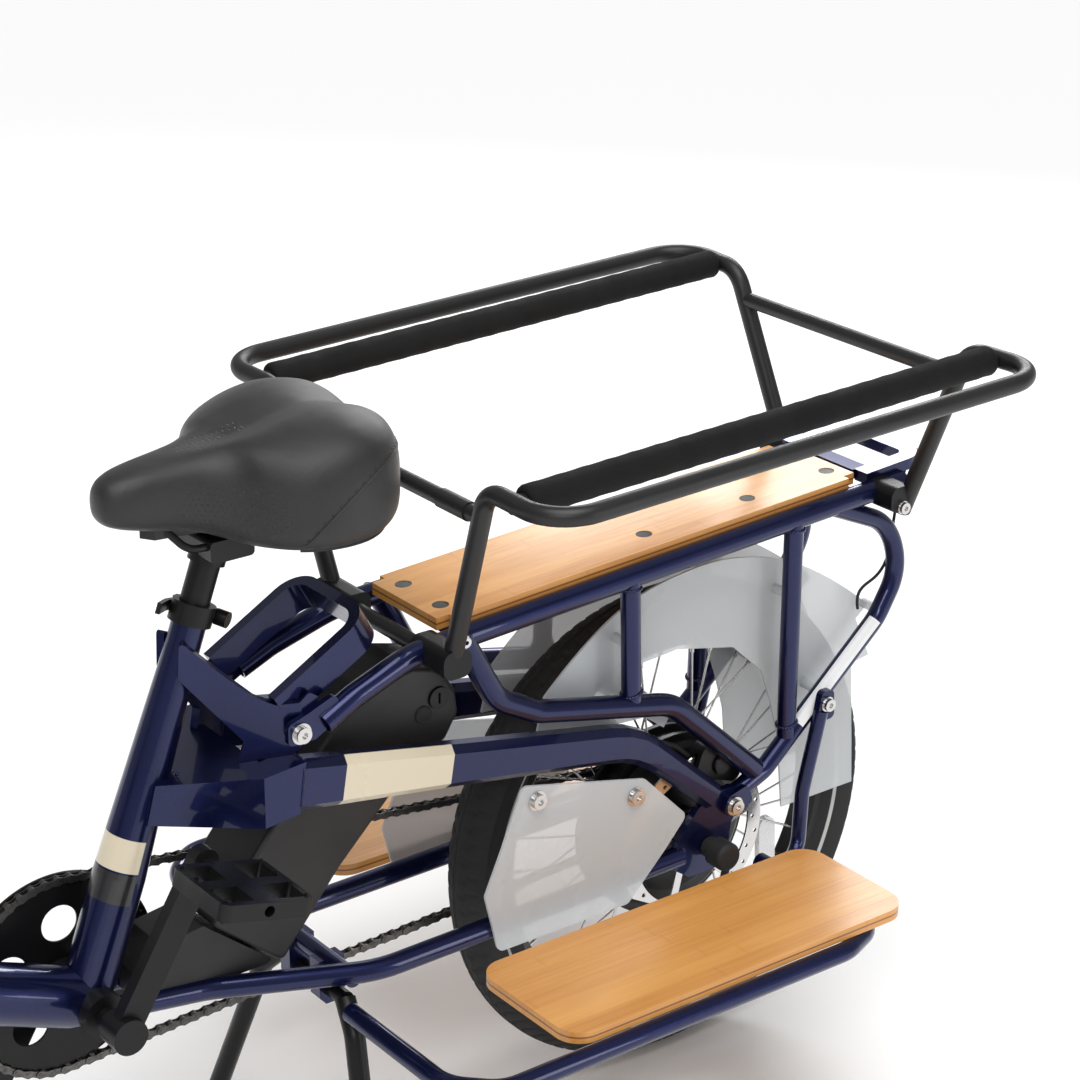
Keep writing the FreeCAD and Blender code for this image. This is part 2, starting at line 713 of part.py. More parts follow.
# ================================================================ guards and boards
def skirts():
    """Clear side panels that keep feet and clothes out of the rear wheel."""
    arc = [(185, 464), (132, 508), (74, 539), (18, 550.5), (-20, 553), (-64, 548), (-108, 535.5), (-175, 500),
           (-235, 455)]
    curve = Part.BSplineCurve()
    curve.interpolate([at(x, SKIRT_Y, z) for x, z in arc])
    ends = [(-235, 455), (-219, 442), (-240, 396), (-216, 392), (-223, 300), (-226, 252), (-127, 252),
            (-118, 335), (-105, 380), (-91, 418), (-52, 454), (21, 471), (66, 468), (88, 455), (84, 441),
            (50, 428), (26, 404), (36, 390), (60, 408), (196, 418), (185, 464)]
    edges = [curve.toShape(), Part.makePolygon([at(x, SKIRT_Y, z) for x, z in ends])]
    loop = Part.Wire(edges[:1] + edges[1].Edges)
    body = Part.Face(loop).extrude(LEFT * SKIRT_T)
    return pair(largest(body))


def skirt_clips():
    """Short studs that hold each skirt off the rack's struts and tail tube."""
    taken = group(rack_struts(), tail_solid(1))
    studs = []
    for x, z in ((100, 505), (-105, 505), (-228, 458), (-150, 388)):
        stud = rod(at(x, SKIRT_Y + SKIRT_T, z), at(x, SIDE_Y - 4, z), 5.0)
        studs.append(largest(stud.cut(taken)))
    return pair(Part.makeCompound(studs))


def guard_bolt_places():
    """Places of the heel guard bolts."""
    return [(226, 385), (106, 353)]


def heel_guards():
    """Grey translucent plates bolted low on each main stay, in front of the wheel."""
    shape = [(242, 404), (94, 368), (39, 312), (66, 282), (112, 236), (270, 236), (286, 300), (266, 345)]
    body = round_corners(plate(shape, GUARD_Y, 3.0), 8.0, LEFT)
    holes = [rod(at(x, 0, z), at(x, 120, z), 4.2) for x, z in guard_bolt_places()]
    return pair(body.cut(group(*holes)))


def board_loop():
    """Centre line of one foot board's tube: from the lower stay out, round and back in."""
    z = BOARD_Z - BOARD_T - BOARD_TUBE_R - 0.2
    wide = BOARD_Y_OUT + 4.0
    return [at(-60, STAY_Y + 16, z), at(-60, wide - 20, z), at(-10, wide, z), at(400, wide, z),
            at(437, wide - 36, z), at(437, STAY_Y + 12, z)]


def board_frames():
    """Tube loops under the foot boards, one each side."""
    body = tube(board_loop(), BOARD_TUBE_R, 1.8, BOARD_BENDS)
    return pair(body.cut(lower_stays()))


def foot_boards():
    """Bamboo foot boards with rounded corners."""
    long_x = BOARD_FRONT_X - BOARD_REAR_X
    corner = at(BOARD_REAR_X, BOARD_Y_IN, BOARD_Z - BOARD_T)
    body = Part.makeBox(long_x, BOARD_Y_OUT - BOARD_Y_IN, BOARD_T, corner)
    return pair(round_corners(body, 26.0, UP))


def board_struts():
    """Rear struts of the foot boards, flattened and bolted to the tail tubes."""
    y = SIDE_Y + 15.0
    foot_z = BOARD_Z - BOARD_T - BOARD_TUBE_R
    body = tube([at(-137, y, 376), at(-116, y, 290), at(-106, y + 8, foot_z), at(-64, y + 26, foot_z)], 7.6,
                1.6, [80.0, 20.0])
    ear = plate([(-152, 366), (-150, 398), (-134, 398), (-128, 366)], y - 4, 8.0)
    hole = rod(at(-141, 50, 384), at(-141, 120, 384), 4.2)
    body = fused(body, round_corners(ear, 6.0, LEFT)).cut(hole)
    taken = group(pipe(board_loop(), BOARD_TUBE_R, BOARD_BENDS), foot_boards(), tail_solid(1))
    return pair(body.cut(taken))


# ================================================================ battery, light, small pieces


def battery_case():
    """Removable battery between the main stays, leaning back from the bottom bracket."""
    shape = [(283, 497), (300, 523), (330, 531), (385, 524), (412, 505), (553, 337), (480, 274), (416, 351),
             (359, 407), (294, 450), (280, 473)]
    body = plate(shape, -BATTERY_HALF_W, 2 * BATTERY_HALF_W)
    body = round_corners(body, 7.0, LEFT)
    rims = [edge for edge in body.Edges if abs(abs(edge.CenterOfMass.y) - BATTERY_HALF_W) < 1e-3]
    body = body.makeFillet(5.0, rims)
    seat = rod(LOCK + LEFT * -16, LOCK + LEFT * 20, 11.0)
    return body.cut(seat)


def battery_tray():
    """Dark tray and controller box that the battery locks into."""
    shape = [(557, 334), (600, 328), (622, 300), (622, 272), (492, 272), (486, 276)]
    body = round_corners(plate(shape, -28, 56), 2.0, LEFT)
    return largest(body.cut(seat_tube_solid()).cut(lower_stays()))


def key_lock():
    """Key barrel that turns in the battery's side."""
    body = rod(LOCK - LEFT * 15, LOCK + LEFT * 2.5, LOCK_R)
    slit = Part.makeBox(2.4, 6, 11, LOCK + FreeCAD.Vector(-1.2, -1.5, -5.5))
    return body.cut(slit)


def seat_collar():
    """Split collar with a quick release boss behind it."""
    band = rod(on_seat(SEAT_TUBE_LEN - 16), on_seat(SEAT_TUBE_LEN + 3), COLLAR_R)
    boss = rod(on_seat(QR_S, QR_BACK, -14), on_seat(QR_S, QR_BACK, 14), 7.0)
    body = fused(band, boss)
    body = body.cut(rod(on_seat(100), on_seat(SEAT_TUBE_LEN), SEAT_TUBE_TOP_R))
    body = body.cut(rod(on_seat(SEAT_TUBE_LEN - 30), on_seat(SEAT_TUBE_LEN + 20), SEATPOST_R + 0.5))
    slot = Part.makeBox(18, 3, 44, on_seat(SEAT_TUBE_LEN - 26, -32, -1.5))
    body = body.cut(slot).cut(rod(on_seat(QR_S, QR_BACK, -40), on_seat(QR_S, QR_BACK, 40), 3.0 + RUN))
    body.rotate(on_seat(0), SEAT_UP, QR_TURN)
    return body


def qr_lever():
    """Cam lever and its skewer through the collar boss."""
    axis = on_seat(QR_S, QR_BACK, 0)
    skewer = rod(axis - LEFT * 15, axis + LEFT * 26, 3.0)
    nut = rod(axis + LEFT * 14.4, axis + LEFT * 26, 7.5)
    cam = rod(axis - LEFT * 27, axis - LEFT * 14.4, 7.0)
    ahead = direction(SEAT_UP.z, 0, -SEAT_UP.x)
    arm = strip([axis - LEFT * 23, axis - LEFT * 25 + ahead * 24, axis - LEFT * 21 + ahead * 48], 10.0, 4.0,
                SEAT_UP, 30.0)
    body = fused(skewer, nut, cam, arm)
    body.rotate(on_seat(0), SEAT_UP, QR_TURN)
    return body


def tail_light():
    """Red rear light on the end of the rack."""
    body = Part.makeBox(LIGHT_T, 2 * LIGHT_HALF_W, LIGHT_H, at(LIGHT_REAR_X, -LIGHT_HALF_W, LIGHT_Z))
    return round_corners(body, 3.0, FORWARD).cut(rear_loop())


def axle_and_nuts():
    """Fixed rear axle with its nuts and rubber caps."""
    axle = rod(at(0, -92, TYRE_R), at(0, 92, TYRE_R), AXLE_R)
    nut = rod(at(0, 77, TYRE_R), at(0, 88, TYRE_R), 11.0)
    spacer = rod(at(0, 55, TYRE_R), at(0, 68, TYRE_R), 9.0)
    far = mirrored(nut)
    return fused(axle, nut, far, spacer, mirrored(spacer))


def axle_caps():
    """Rubber caps over the axle nuts."""
    body = rod(at(0, 88.5, TYRE_R), at(0, 110, TYRE_R), 15.0)
    body = body.cut(rod(at(0, 80, TYRE_R), at(0, 93, TYRE_R), 11.5))
    rims = [edge for edge in body.Edges if abs(edge.CenterOfMass.y - 110) < 1e-3]
    return pair(body.makeFillet(5.0, rims))


def motor_cable():
    """Motor lead from the left axle cap forward into the lower stay."""
    points = [at(0, 104, TYRE_R - 14), at(4, 103, 228), at(34, 97, 214), at(84, 86, 222), at(120, 78, 240)]
    return pipe(points, 4.0, [16.0, 26.0, 24.0])


def rear_caliper():
    """Hydraulic disc caliper that straddles the rotor, inside the left dropout."""
    mid = REAR_AXLE + LEFT * ROTOR_Y
    angle = CALIPER_ANGLE
    lean = math.radians(angle)
    out = FreeCAD.Vector(math.cos(lean), 0, math.sin(lean))
    along = FreeCAD.Vector(-math.sin(lean), 0, math.cos(lean))
    centre = mid + out * (ROTOR_R - 8)
    body = Part.makeBox(60, 18, 34, FreeCAD.Vector(-30, -10.5, -17))
    body = round_corners(body, 9.0, LEFT)
    place = FreeCAD.Placement(centre, FreeCAD.Rotation(along, LEFT, out, "XYZ"))
    body.Placement = place
    gap = ring(mid - LEFT * 2.2, mid + LEFT * 2.2, ROTOR_R + 3, 10.0)
    return body.cut(gap)


def brake_hose():
    """Rear brake hose from the caliper forward into a port on the main stay."""
    points = [at(4, 46, 350), at(22, 46, 366), at(70, 50, 392), at(118, STAY_Y - STAY_W / 2, 404)]
    return pipe(points, 2.5, [40.0, 60.0])


# ================================================================ wheels
def tyre(axle):
    """A tyre on the given axle."""
    half = TYRE_W / 2
    profile = [(BEAD_R + 1, 13), (BEAD_R + 12, 17), (BEAD_R + 26, half - 3), (BEAD_R + 38, half),
               (TYRE_R - 9, 22), (TYRE_R - 2, 12), (TYRE_R, 4)]
    profile = profile + [(r, -y) for r, y in reversed(profile)]
    hollow = [(BEAD_R + 1, 11), (BEAD_R + 14, 14), (BEAD_R + 30, half - 6), (BEAD_R + 42, 20),
              (TYRE_R - 7, 6)]
    hollow = hollow + [(r, -y) for r, y in reversed(hollow)]
    return turned(profile, axle).cut(turned(hollow, axle)).cut(rim(axle))


def rim(axle):
    """A rim on the given axle."""
    half = RIM_W / 2
    profile = [(RIM_INNER_R, 8), (RIM_INNER_R + 10, half), (RIM_R, half), (RIM_R, half - 3),
               (BEAD_R, half - 4), (RIM_INNER_R + 8, 8)]
    profile = profile + [(r, -y) for r, y in reversed(profile)]
    return turned(profile, axle)


def spokes(axle, flange_r, flange_y, offset):
    """Spokes crossed from both flanges, every other one on the flange's inner face."""
    solids = []
    swing = SPOKE_SWING * min(1.0, SPOKE_SWING_R / flange_r)
    for index in range(SPOKES):
        angle = 2 * math.pi * index / SPOKES
        side = 1 if index % 2 == 0 else -1
        inner = (index // 2) % 2
        lean = swing if inner else -swing
        head = FreeCAD.Vector(math.cos(angle + lean) * flange_r, 0, math.sin(angle + lean) * flange_r)
        start = axle + head + LEFT * (side * (flange_y - offset if inner else flange_y + offset))
        end = axle + FreeCAD.Vector(math.cos(angle) * (RIM_INNER_R + 2), side * 3.0,
                                    math.sin(angle) * (RIM_INNER_R + 2))
        nipple_way = (start - end).normalize()
        body = fused(rod(start, end, SPOKE_R), rod(end, end + nipple_way * 13.0, SPOKE_R + 1.0),
                     rod(start, axle + head + LEFT * (side * flange_y), SPOKE_R))
        solids.append(body)
    return Part.makeCompound(solids)


def hub_motor():
    """Geared hub motor shell with spoke flanges and a rotor boss."""
    half = MOTOR_W / 2
    profile = [(AXLE_R + RUN, 50), (26, 50), (26, half + 8), (MOTOR_R - 24, half + 6), (MOTOR_R - 6, half),
               (MOTOR_R, half - 4), (MOTOR_R, half - 8), (MOTOR_FLANGE_R, half - 8),
               (MOTOR_FLANGE_R, half - 13), (MOTOR_R, half - 13), (MOTOR_R, -half + 13),
               (MOTOR_FLANGE_R, -half + 13), (MOTOR_FLANGE_R, -half + 8), (MOTOR_R, -half + 8),
               (MOTOR_R, -half + 4), (MOTOR_R - 6, -half), (30, -half - 6), (24, -36), (AXLE_R + RUN, -36)]
    return turned(profile, REAR_AXLE)


def rotor(axle, side=1):
    """Vented brake disc with six arms."""
    mid = axle + LEFT * (ROTOR_Y * side)
    low = mid - LEFT * (ROTOR_T / 2)
    high = mid + LEFT * (ROTOR_T / 2)
    track = ring(low, high, ROTOR_R, ROTOR_R - 17)
    hub = ring(low, high, 34, 22)
    parts = [track, hub]
    for index in range(6):
        arm = Part.makeBox(50, ROTOR_T, 9, FreeCAD.Vector(mid.x + 28, low.y, mid.z - 4.5))
        arm.rotate(FreeCAD.Vector(mid.x + 28, 0, mid.z), LEFT, 16)
        arm.rotate(mid, LEFT, 60.0 * index)
        parts.append(arm)
    body = fused(*parts)
    holes = []
    for index in range(30):
        angle = math.radians(12.0 * index)
        r = ROTOR_R - 5.5 - 6.0 * (index % 2)
        centre = mid + FreeCAD.Vector(math.cos(angle) * r, 0, math.sin(angle) * r)
        holes.append(rod(centre - LEFT * 3, centre + LEFT * 3, 2.4))
    return body.cut(group(*holes)).cut(rod(low - LEFT, high + LEFT, 22.05))


def rear_rotor():
    """Rear brake rotor."""
    return rotor(REAR_AXLE)


def front_hub():
    """Front hub shell."""
    profile = [(AXLE_R + RUN, 42), (13, 42), (13, FRONT_FLANGE_Y + 4), (FRONT_FLANGE_R, FRONT_FLANGE_Y + 2),
               (FRONT_FLANGE_R, FRONT_FLANGE_Y - 2), (FRONT_HUB_R, FRONT_FLANGE_Y - 6),
               (FRONT_HUB_R, -FRONT_FLANGE_Y + 6), (FRONT_FLANGE_R, -FRONT_FLANGE_Y + 2),
               (FRONT_FLANGE_R, -FRONT_FLANGE_Y - 2), (13, -FRONT_FLANGE_Y - 4), (13, -42),
               (AXLE_R + RUN, -42)]
    return turned(profile, FRONT_AXLE)


# ================================================================ drive
def toothed(centre, y, thick, root_r, teeth, tip):
    """A chain wheel: a disc with short rounded teeth."""
    low = centre + LEFT * (y - thick / 2)
    body = rod(low, low + LEFT * thick, root_r)
    parts = [body]
    for index in range(teeth):
        angle = 2 * math.pi * index / teeth
        mid = low + FreeCAD.Vector(math.cos(angle) * root_r, 0, math.sin(angle) * root_r)
        parts.append(rod(mid, mid + LEFT * thick, tip))
    return fused(*parts)


def chainring():
    """Chainring with five windows."""
    body = toothed(BB, CHAIN_Y, 2.2, CHAINRING_R, 46, 2.6)
    for index in range(5):
        angle = math.radians(72.0 * index + 20)
        mid = BB + FreeCAD.Vector(math.cos(angle) * 54, 0, math.sin(angle) * 54)
        body = body.cut(rod(mid - LEFT * 60, mid + LEFT * 10, 18.0))
    return body.cut(rod(BB - LEFT * 60, BB, 16.0))


def chain_guard():
    """Black bash ring outside the chainring."""
    return ring(BB + LEFT * (CHAIN_Y - 9), BB + LEFT * (CHAIN_Y - 6), CHAINRING_R + 8, 74.0)


def crank_arm(side):
    """One crank arm."""
    lean = math.radians(CRANK_ANGLE)
    away = FreeCAD.Vector(math.cos(lean), 0, math.sin(lean)) * side
    root = BB + LEFT * (side * (CRANK_Y - 12))
    tip = root + away * CRANK_LEN + LEFT * (side * 16)
    boss = rod(BB + LEFT * (side * 56), BB + LEFT * (side * 84), 17.0)
    eye = rod(tip - LEFT * (side * 7), tip + LEFT * (side * 7), 13.0)
    arm = strip([root, tip], 26.0, 13.0, away.cross(LEFT), 1.0)
    axle = rod(tip, tip + LEFT * (side * 100), PEDAL_BORE)
    return fused(boss, arm, eye, axle).cut(crank_spindle())


def crank_left():
    """Left crank arm."""
    return crank_arm(1)


def crank_right():
    """Right arm with its five-armed spider."""
    parts = [crank_arm(-1)]
    for index in range(5):
        angle = math.radians(72.0 * index - 16)
        arm = rod(BB + LEFT * (CHAIN_Y - 14),
                  BB + FreeCAD.Vector(math.cos(angle) * 78, CHAIN_Y - 5, math.sin(angle) * 78), 6.0)
        parts.append(arm)
    body = fused(*parts)
    low = BB + LEFT * (CHAIN_Y - 1.1)
    body = body.cut(rod(low, low + LEFT * 40, 120.0))
    return body.cut(chain_guard()).cut(crank_spindle())


def crank_spindle():
    """Spindle between the two crank arms."""
    return rod(BB - LEFT * 82, BB + LEFT * 82, SPINDLE_R)


def pedal_centre(side):
    """Middle of one pedal."""
    lean = math.radians(CRANK_ANGLE)
    away = FreeCAD.Vector(math.cos(lean), 0, math.sin(lean)) * side
    return BB + away * CRANK_LEN + LEFT * (side * PEDAL_Y)


def pedal(side):
    """Metal platform pedal with pins, turning on the crank's pedal axle."""
    centre = pedal_centre(side)
    frame = Part.makeBox(92, 88, 16, FreeCAD.Vector(-46, -44, -8))
    frame = round_corners(frame, 9.0, UP)
    windows = []
    for x in (-26, 26):
        for y in (-22, 22):
            windows.append(Part.makeBox(28, 30, 40, FreeCAD.Vector(x - 14, y - 15, -20)))
    body = frame.cut(group(*windows))
    pins = []
    for x in (-40, 40):
        for y in (-36, -12, 12, 36):
            pins.append(Part.makeCylinder(1.8, 22, FreeCAD.Vector(x, y, -11)))
    body = fused(body, *pins)
    body.rotate(FreeCAD.Vector(0, 0, 0), LEFT, -14)
    body.translate(centre)
    bore = rod(centre - LEFT * 60, centre + LEFT * 60, PEDAL_BORE + RUN)
    return body.cut(bore)


def rear_sprocket():
    """Freewheel sprocket beside the motor, on its own bearing."""
    body = toothed(REAR_AXLE, CHAIN_Y, 2.2, SPROCKET_R, 18, 2.6)
    boss = rod(REAR_AXLE + LEFT * (CHAIN_Y - 6), REAR_AXLE + LEFT * (CHAIN_Y + 8), 24.0)
    return fused(body, boss).cut(rod(REAR_AXLE - LEFT * 80, REAR_AXLE, AXLE_R + RUN))


def chain():
    """Two plate loops of the chain, either side of the teeth, joined by the outer rollers' line."""
    big = CHAINRING_R + 5.0
    small = SPROCKET_R + 5.0
    span = BB - REAR_AXLE
    reach = span.Length
    ahead = FreeCAD.Vector(span).normalize()
    up = FreeCAD.Vector(-ahead.z, 0, ahead.x)
    lean = math.asin((big - small) / reach)

    def loop(offset, y):
        r_big = big + offset
        r_small = small + offset
        top = up * math.cos(lean) - ahead * math.sin(lean)
        low = up * -math.cos(lean) - ahead * math.sin(lean)
        shift = LEFT * y
        a = BB + top * r_big + shift
        b = BB + ahead * r_big + shift
        c = BB + low * r_big + shift
        d = REAR_AXLE + low * r_small + shift
        e = REAR_AXLE - ahead * r_small + shift
        f = REAR_AXLE + top * r_small + shift
        edges = [Part.Arc(a, b, c).toShape(), Part.makeLine(c, d), Part.Arc(d, e, f).toShape(),
                 Part.makeLine(f, a)]
        return Part.Wire(edges)

    plates = []
    for y in (CHAIN_Y - 3.2, CHAIN_Y + 1.8):
        outer = Part.Face(loop(3.2, y))
        inner = Part.Face(loop(-4.6, y))
        plates.append(outer.cut(inner).extrude(LEFT * 1.4))
    return Part.makeCompound([solid for item in plates for solid in item.Solids])


# ================================================================ stand
def stand_bridge():
    """Cross tube between the lower stays with the two lugs that carry the stand's pivot."""
    bridge = rod(at(STAND_X, -STAY_Y, 254), at(STAND_X, STAY_Y, 254), 9.0)
    shape = [(STAND_X - 14, 258), (STAND_X + 14, 258), (STAND_X + 14, STAND_PIVOT_Z - 6),
             (STAND_X + 7, STAND_PIVOT_Z - 14), (STAND_X - 7, STAND_PIVOT_Z - 14),
             (STAND_X - 14, STAND_PIVOT_Z - 6)]
    lugs = pair(plate(shape, STAND_LUG_Y - 16, 16.0))
    pivot = rod(at(STAND_X, -60, STAND_PIVOT_Z), at(STAND_X, 60, STAND_PIVOT_Z), STAND_PIVOT_R + RUN)
    body = fused(bridge, *lugs.Solids).cut(pivot)
    return largest(body.cut(stay_tubes()))


def stand_legs():
    """Two-legged centre stand, with its cross shaft."""
    shaft = rod(at(STAND_X, -58, STAND_PIVOT_Z), at(STAND_X, 58, STAND_PIVOT_Z), STAND_PIVOT_R)
    parts = [shaft]
    for side in (1, -1):
        hip = at(STAND_X, side * 56, STAND_PIVOT_Z)
        knee = at(STAND_X + 6, side * 80, STAND_PIVOT_Z - 24)
        foot = at(STAND_X + 30, side * 150, 14)
        parts.append(pipe([hip, knee, foot], 10.0, 30.0))
    return fused(*parts)


def stand_feet():
    """Rubber feet of the stand, flat on the ground."""
    solids = []
    for side in (1, -1):
        body = Part.makeCone(17.0, 13.0, 26.0, at(STAND_X + 30.5, side * 152, 0), UP)
        solids.append(body)
    return group(*solids).cut(stand_legs())


# ================================================================ fork and cockpit
def fork():
    """Unicrown fork with its steerer."""
    crown = on_steer(FORK_LEN - 18)
    steerer = rod(crown, on_steer(FORK_LEN + HEAD_TUBE_LEN + 72), STEERER_R)
    seat = rod(on_steer(FORK_LEN - 8), on_steer(FORK_LEN + 1.6), HEAD_TUBE_R)
    left = pipe([on_steer(FORK_LEN - 22, 0, 0), on_steer(FORK_LEN - 24, 0, 56), on_steer(120, 0, 58),
                 FRONT_AXLE + LEFT * 58 + HEAD_UP * 26], 15.0, [34.0, 120.0])
    tab = plate([(FRONT_X - 16, TYRE_R + 34), (FRONT_X + 12, TYRE_R + 34), (FRONT_X + 15, TYRE_R - 4),
                 (FRONT_X + 8, TYRE_R - 15), (FRONT_X - 8, TYRE_R - 15),
                  (FRONT_X - 15, TYRE_R - 4)], 54.0, 8.0)
    tab = round_corners(tab, 4.0, LEFT)
    left = fused(left, tab).cut(rod(FRONT_AXLE, FRONT_AXLE + LEFT * 90, AXLE_R))
    return fused(left, mirrored(left), steerer, seat)


def front_axle():
    """Fixed front axle."""
    axle = rod(FRONT_AXLE - LEFT * 74, FRONT_AXLE + LEFT * 74, AXLE_R)
    nut = rod(FRONT_AXLE + LEFT * 62.2, FRONT_AXLE + LEFT * 72, 10.5)
    spacer = ring(FRONT_AXLE + LEFT * 43, FRONT_AXLE + LEFT * 53.8, 10.0, AXLE_R - 1)
    return fused(axle, nut, mirrored(nut), spacer, mirrored(spacer))


def front_caliper():
    """Front brake caliper."""
    mid = FRONT_AXLE + LEFT * FRONT_ROTOR_Y
    lean = math.radians(128)
    out = FreeCAD.Vector(math.cos(lean), 0, math.sin(lean))
    along = FreeCAD.Vector(-math.sin(lean), 0, math.cos(lean))
    centre = mid + out * (ROTOR_R - 10)
    body = Part.makeBox(58, 26, 30, FreeCAD.Vector(-29, -13, -15))
    body = round_corners(body, 8.0, LEFT)
    body.Placement = FreeCAD.Placement(centre, FreeCAD.Rotation(along, LEFT, out, "XYZ"))
    gap = ring(mid - LEFT * 2.2, mid + LEFT * 2.2, ROTOR_R + 3, 10.0)
    return body.cut(gap).cut(fork())


def front_rotor():
    """Front brake rotor."""
    body = rotor(FRONT_AXLE)
    body.translate(FreeCAD.Vector(0, FRONT_ROTOR_Y - ROTOR_Y, 0))
    return body.cut(rod(FRONT_AXLE, FRONT_AXLE + LEFT * 60, 13.05))


def front_fender():
    """Curved fender over the front tyre, with its stays to the fork ends."""
    inner_r = TYRE_R + FENDER_GAP
    band = ring(FRONT_AXLE - LEFT * 36, FRONT_AXLE + LEFT * 36, inner_r + FENDER_T, inner_r)
    keep = []
    start, finish, steps = -8.0, 146.0, 11
    points = [FRONT_AXLE]
    for index in range(steps + 1):
        angle = math.radians(start + (finish - start) * index / steps)
        points.append(FRONT_AXLE + FreeCAD.Vector(math.cos(angle) * 420, -60, math.sin(angle) * 420))
    points[0] = FRONT_AXLE - LEFT * 60
    wedge = Part.Face(Part.makePolygon(points + points[:1])).extrude(LEFT * 120)
    band = band.common(wedge)
    return band


def front_fender_stays():
    """Wire stays of the front fender."""
    solids = []
    for angle in (10.0, 128.0):
        lean = math.radians(angle)
        reach = TYRE_R + 16.4
        end = FRONT_AXLE + FreeCAD.Vector(math.cos(lean) * reach, 33, math.sin(lean) * reach)
        start = FRONT_AXLE + FreeCAD.Vector(math.cos(lean) * 22, 66, math.sin(lean) * 22)
        solids.append(largest(rod(start, end, 2.2).cut(front_fender()).cut(fork())))
    return pair(Part.makeCompound(solids))


def stem():
    """Tall stem clamped on the steerer, with its bar clamp."""
    foot = on_steer(FORK_LEN + HEAD_TUBE_LEN + 24)
    head = on_steer(FORK_LEN + HEAD_TUBE_LEN + 190)
    clamp = at(BAR_X, 0, BAR_Z)
    column = rod(foot, head, 18.0)
    reach = rod(head - HEAD_UP * 16, clamp, 15.0)
    barrel = rod(clamp - LEFT * 26, clamp + LEFT * 26, 19.0)
    body = fused(column, reach, barrel)
    bore = rod(foot - HEAD_UP, on_steer(FORK_LEN + HEAD_TUBE_LEN + 72), STEERER_R)
    bar = rod(clamp - LEFT * 30, clamp + LEFT * 30, BAR_CLAMP_R)
    return body.cut(bore).cut(bar)


def spacer_stack():
    """Headset top cap and spacers between the upper cup and the stem."""
    low = FORK_LEN + HEAD_TUBE_LEN + 20.4
    return ring(on_steer(low), on_steer(low + 3.6), 21.0, STEERER_R)


def bar_points():
    """Centre line of one half of the handlebar."""
    half = [at(BAR_X, 34, BAR_Z), at(BAR_X, 66, BAR_Z), at(BAR_X - 6, 130, BAR_TOP_Z - 6),
            at(BAR_X - 22, 196, BAR_TOP_Z), at(GRIP_END_X, GRIP_END_Y, BAR_TOP_Z - 8)]
    return half


def handlebar():
    """Swept-back riser bar."""
    half = pipe(bar_points(), BAR_R, [40.0, 50.0, 60.0])
    middle = rod(at(BAR_X, -34, BAR_Z), at(BAR_X, 34, BAR_Z), BAR_CLAMP_R)
    return fused(half, mirrored(half), middle)


def grip_way():
    """Direction of one hand grip."""
    end = at(GRIP_END_X, GRIP_END_Y, BAR_TOP_Z - 8)
    start = at(BAR_X - 22, 196, BAR_TOP_Z)
    return end, (end - start).normalize()


def bar_grips():
    """Rubber grips on the bar ends."""
    end, way = grip_way()
    return pair(rod(end - way * 112, end + way * 4, 16.0).cut(rod(end - way * 130, end, BAR_R)))


def lever_bodies():
    """Brake master cylinders clamped inboard of the grips."""
    end, way = grip_way()
    clamp = ring(end - way * 142, end - way * 126, 17.0, BAR_R)
    ahead = UP.cross(way).normalize() * -1
    if ahead.x < 0:
        ahead = ahead * -1
    base = end - way * 134
    body = rod(base + ahead * 24 - way * 20, base + ahead * 24 + way * 14, 9.0)
    neck = rod(base + ahead * 12, base + ahead * 24, 7.0)
    fork_pin = base + ahead * 30 + way * 16
    hole = rod(fork_pin - UP * 30, fork_pin + UP * 30, 3.06)
    gap = rod(fork_pin - UP * 3.4, fork_pin + UP * 3.4, 13.0)
    ears = rod(fork_pin - UP * 7, fork_pin + UP * 7, 8.0)
    bridge = rod(base + ahead * 24 + way * 8, fork_pin, 7.0)
    return pair(fused(clamp, body, neck, ears, bridge).cut(gap).cut(hole))


def lever_blade(side):
    """Brake lever blade with its pivot pin."""
    end, way = grip_way()
    ahead = UP.cross(way).normalize() * -1
    if ahead.x < 0:
        ahead = ahead * -1
    base = end - way * 134
    pin = base + ahead * 30 + way * 16
    points = [pin, pin + way * 22 + ahead * 16, pin + way * 96 + ahead * 18]
    blade = strip(points, 11.0, 6.0, UP, 26.0)
    blade = blade.cut(rod(pin - UP * 9, pin - UP * 2.9, 14.5)).cut(rod(pin + UP * 2.9, pin + UP * 9, 14.5))
    boss = rod(pin - UP * 2.9, pin + UP * 2.9, 7.0)
    body = fused(blade, boss, rod(pin - UP * 7, pin + UP * 7, 3.0))
    return body if side > 0 else mirrored(body)


def display():
    """Handlebar display beside the stem."""
    body = Part.makeBox(16, 62, 74, at(BAR_X - 34, -31, BAR_Z + 16))
    body = round_corners(body, 6.0, FORWARD)
    arm = Part.makeBox(20, 12, 14, at(BAR_X - 22, -42, BAR_Z + 16))
    post = rod(at(BAR_X, -44, BAR_Z), at(BAR_X, -32, BAR_Z), 15.5)
    link = Part.makeBox(14, 10, 30, at(BAR_X - 18, -43, BAR_Z + 4))
    body = fused(body, arm, link, post)
    return body.cut(handlebar()).cut(rod(BUTTON - LEFT * 9, BUTTON + LEFT * 9, 4.0 + RUN))


def bell():
    """Bell on the right of the stem, with its striker housing."""
    base = at(BAR_X, 48, BAR_Z)
    clamp = ring(base - LEFT * 5, base + LEFT * 5, 15.0, BAR_R)
    dome = Part.makeCone(22.0, 12.0, 14.0, base + UP * 15.2, UP)
    post = rod(base + UP * 13, base + UP * 16, 6.0)
    return fused(clamp, post, dome).cut(handlebar())


def headlight():
    """Front light on the fork crown."""
    mount = on_steer(FORK_LEN - 22, 24)
    centre = mount + FORWARD * 34 + UP * 6
    body = rod(centre - FORWARD * 18, centre + FORWARD * 14, 24.0)
    neck = rod(on_steer(FORK_LEN - 20, 12), centre, 7.0)
    return fused(body, neck).cut(fork()).cut(front_fender())


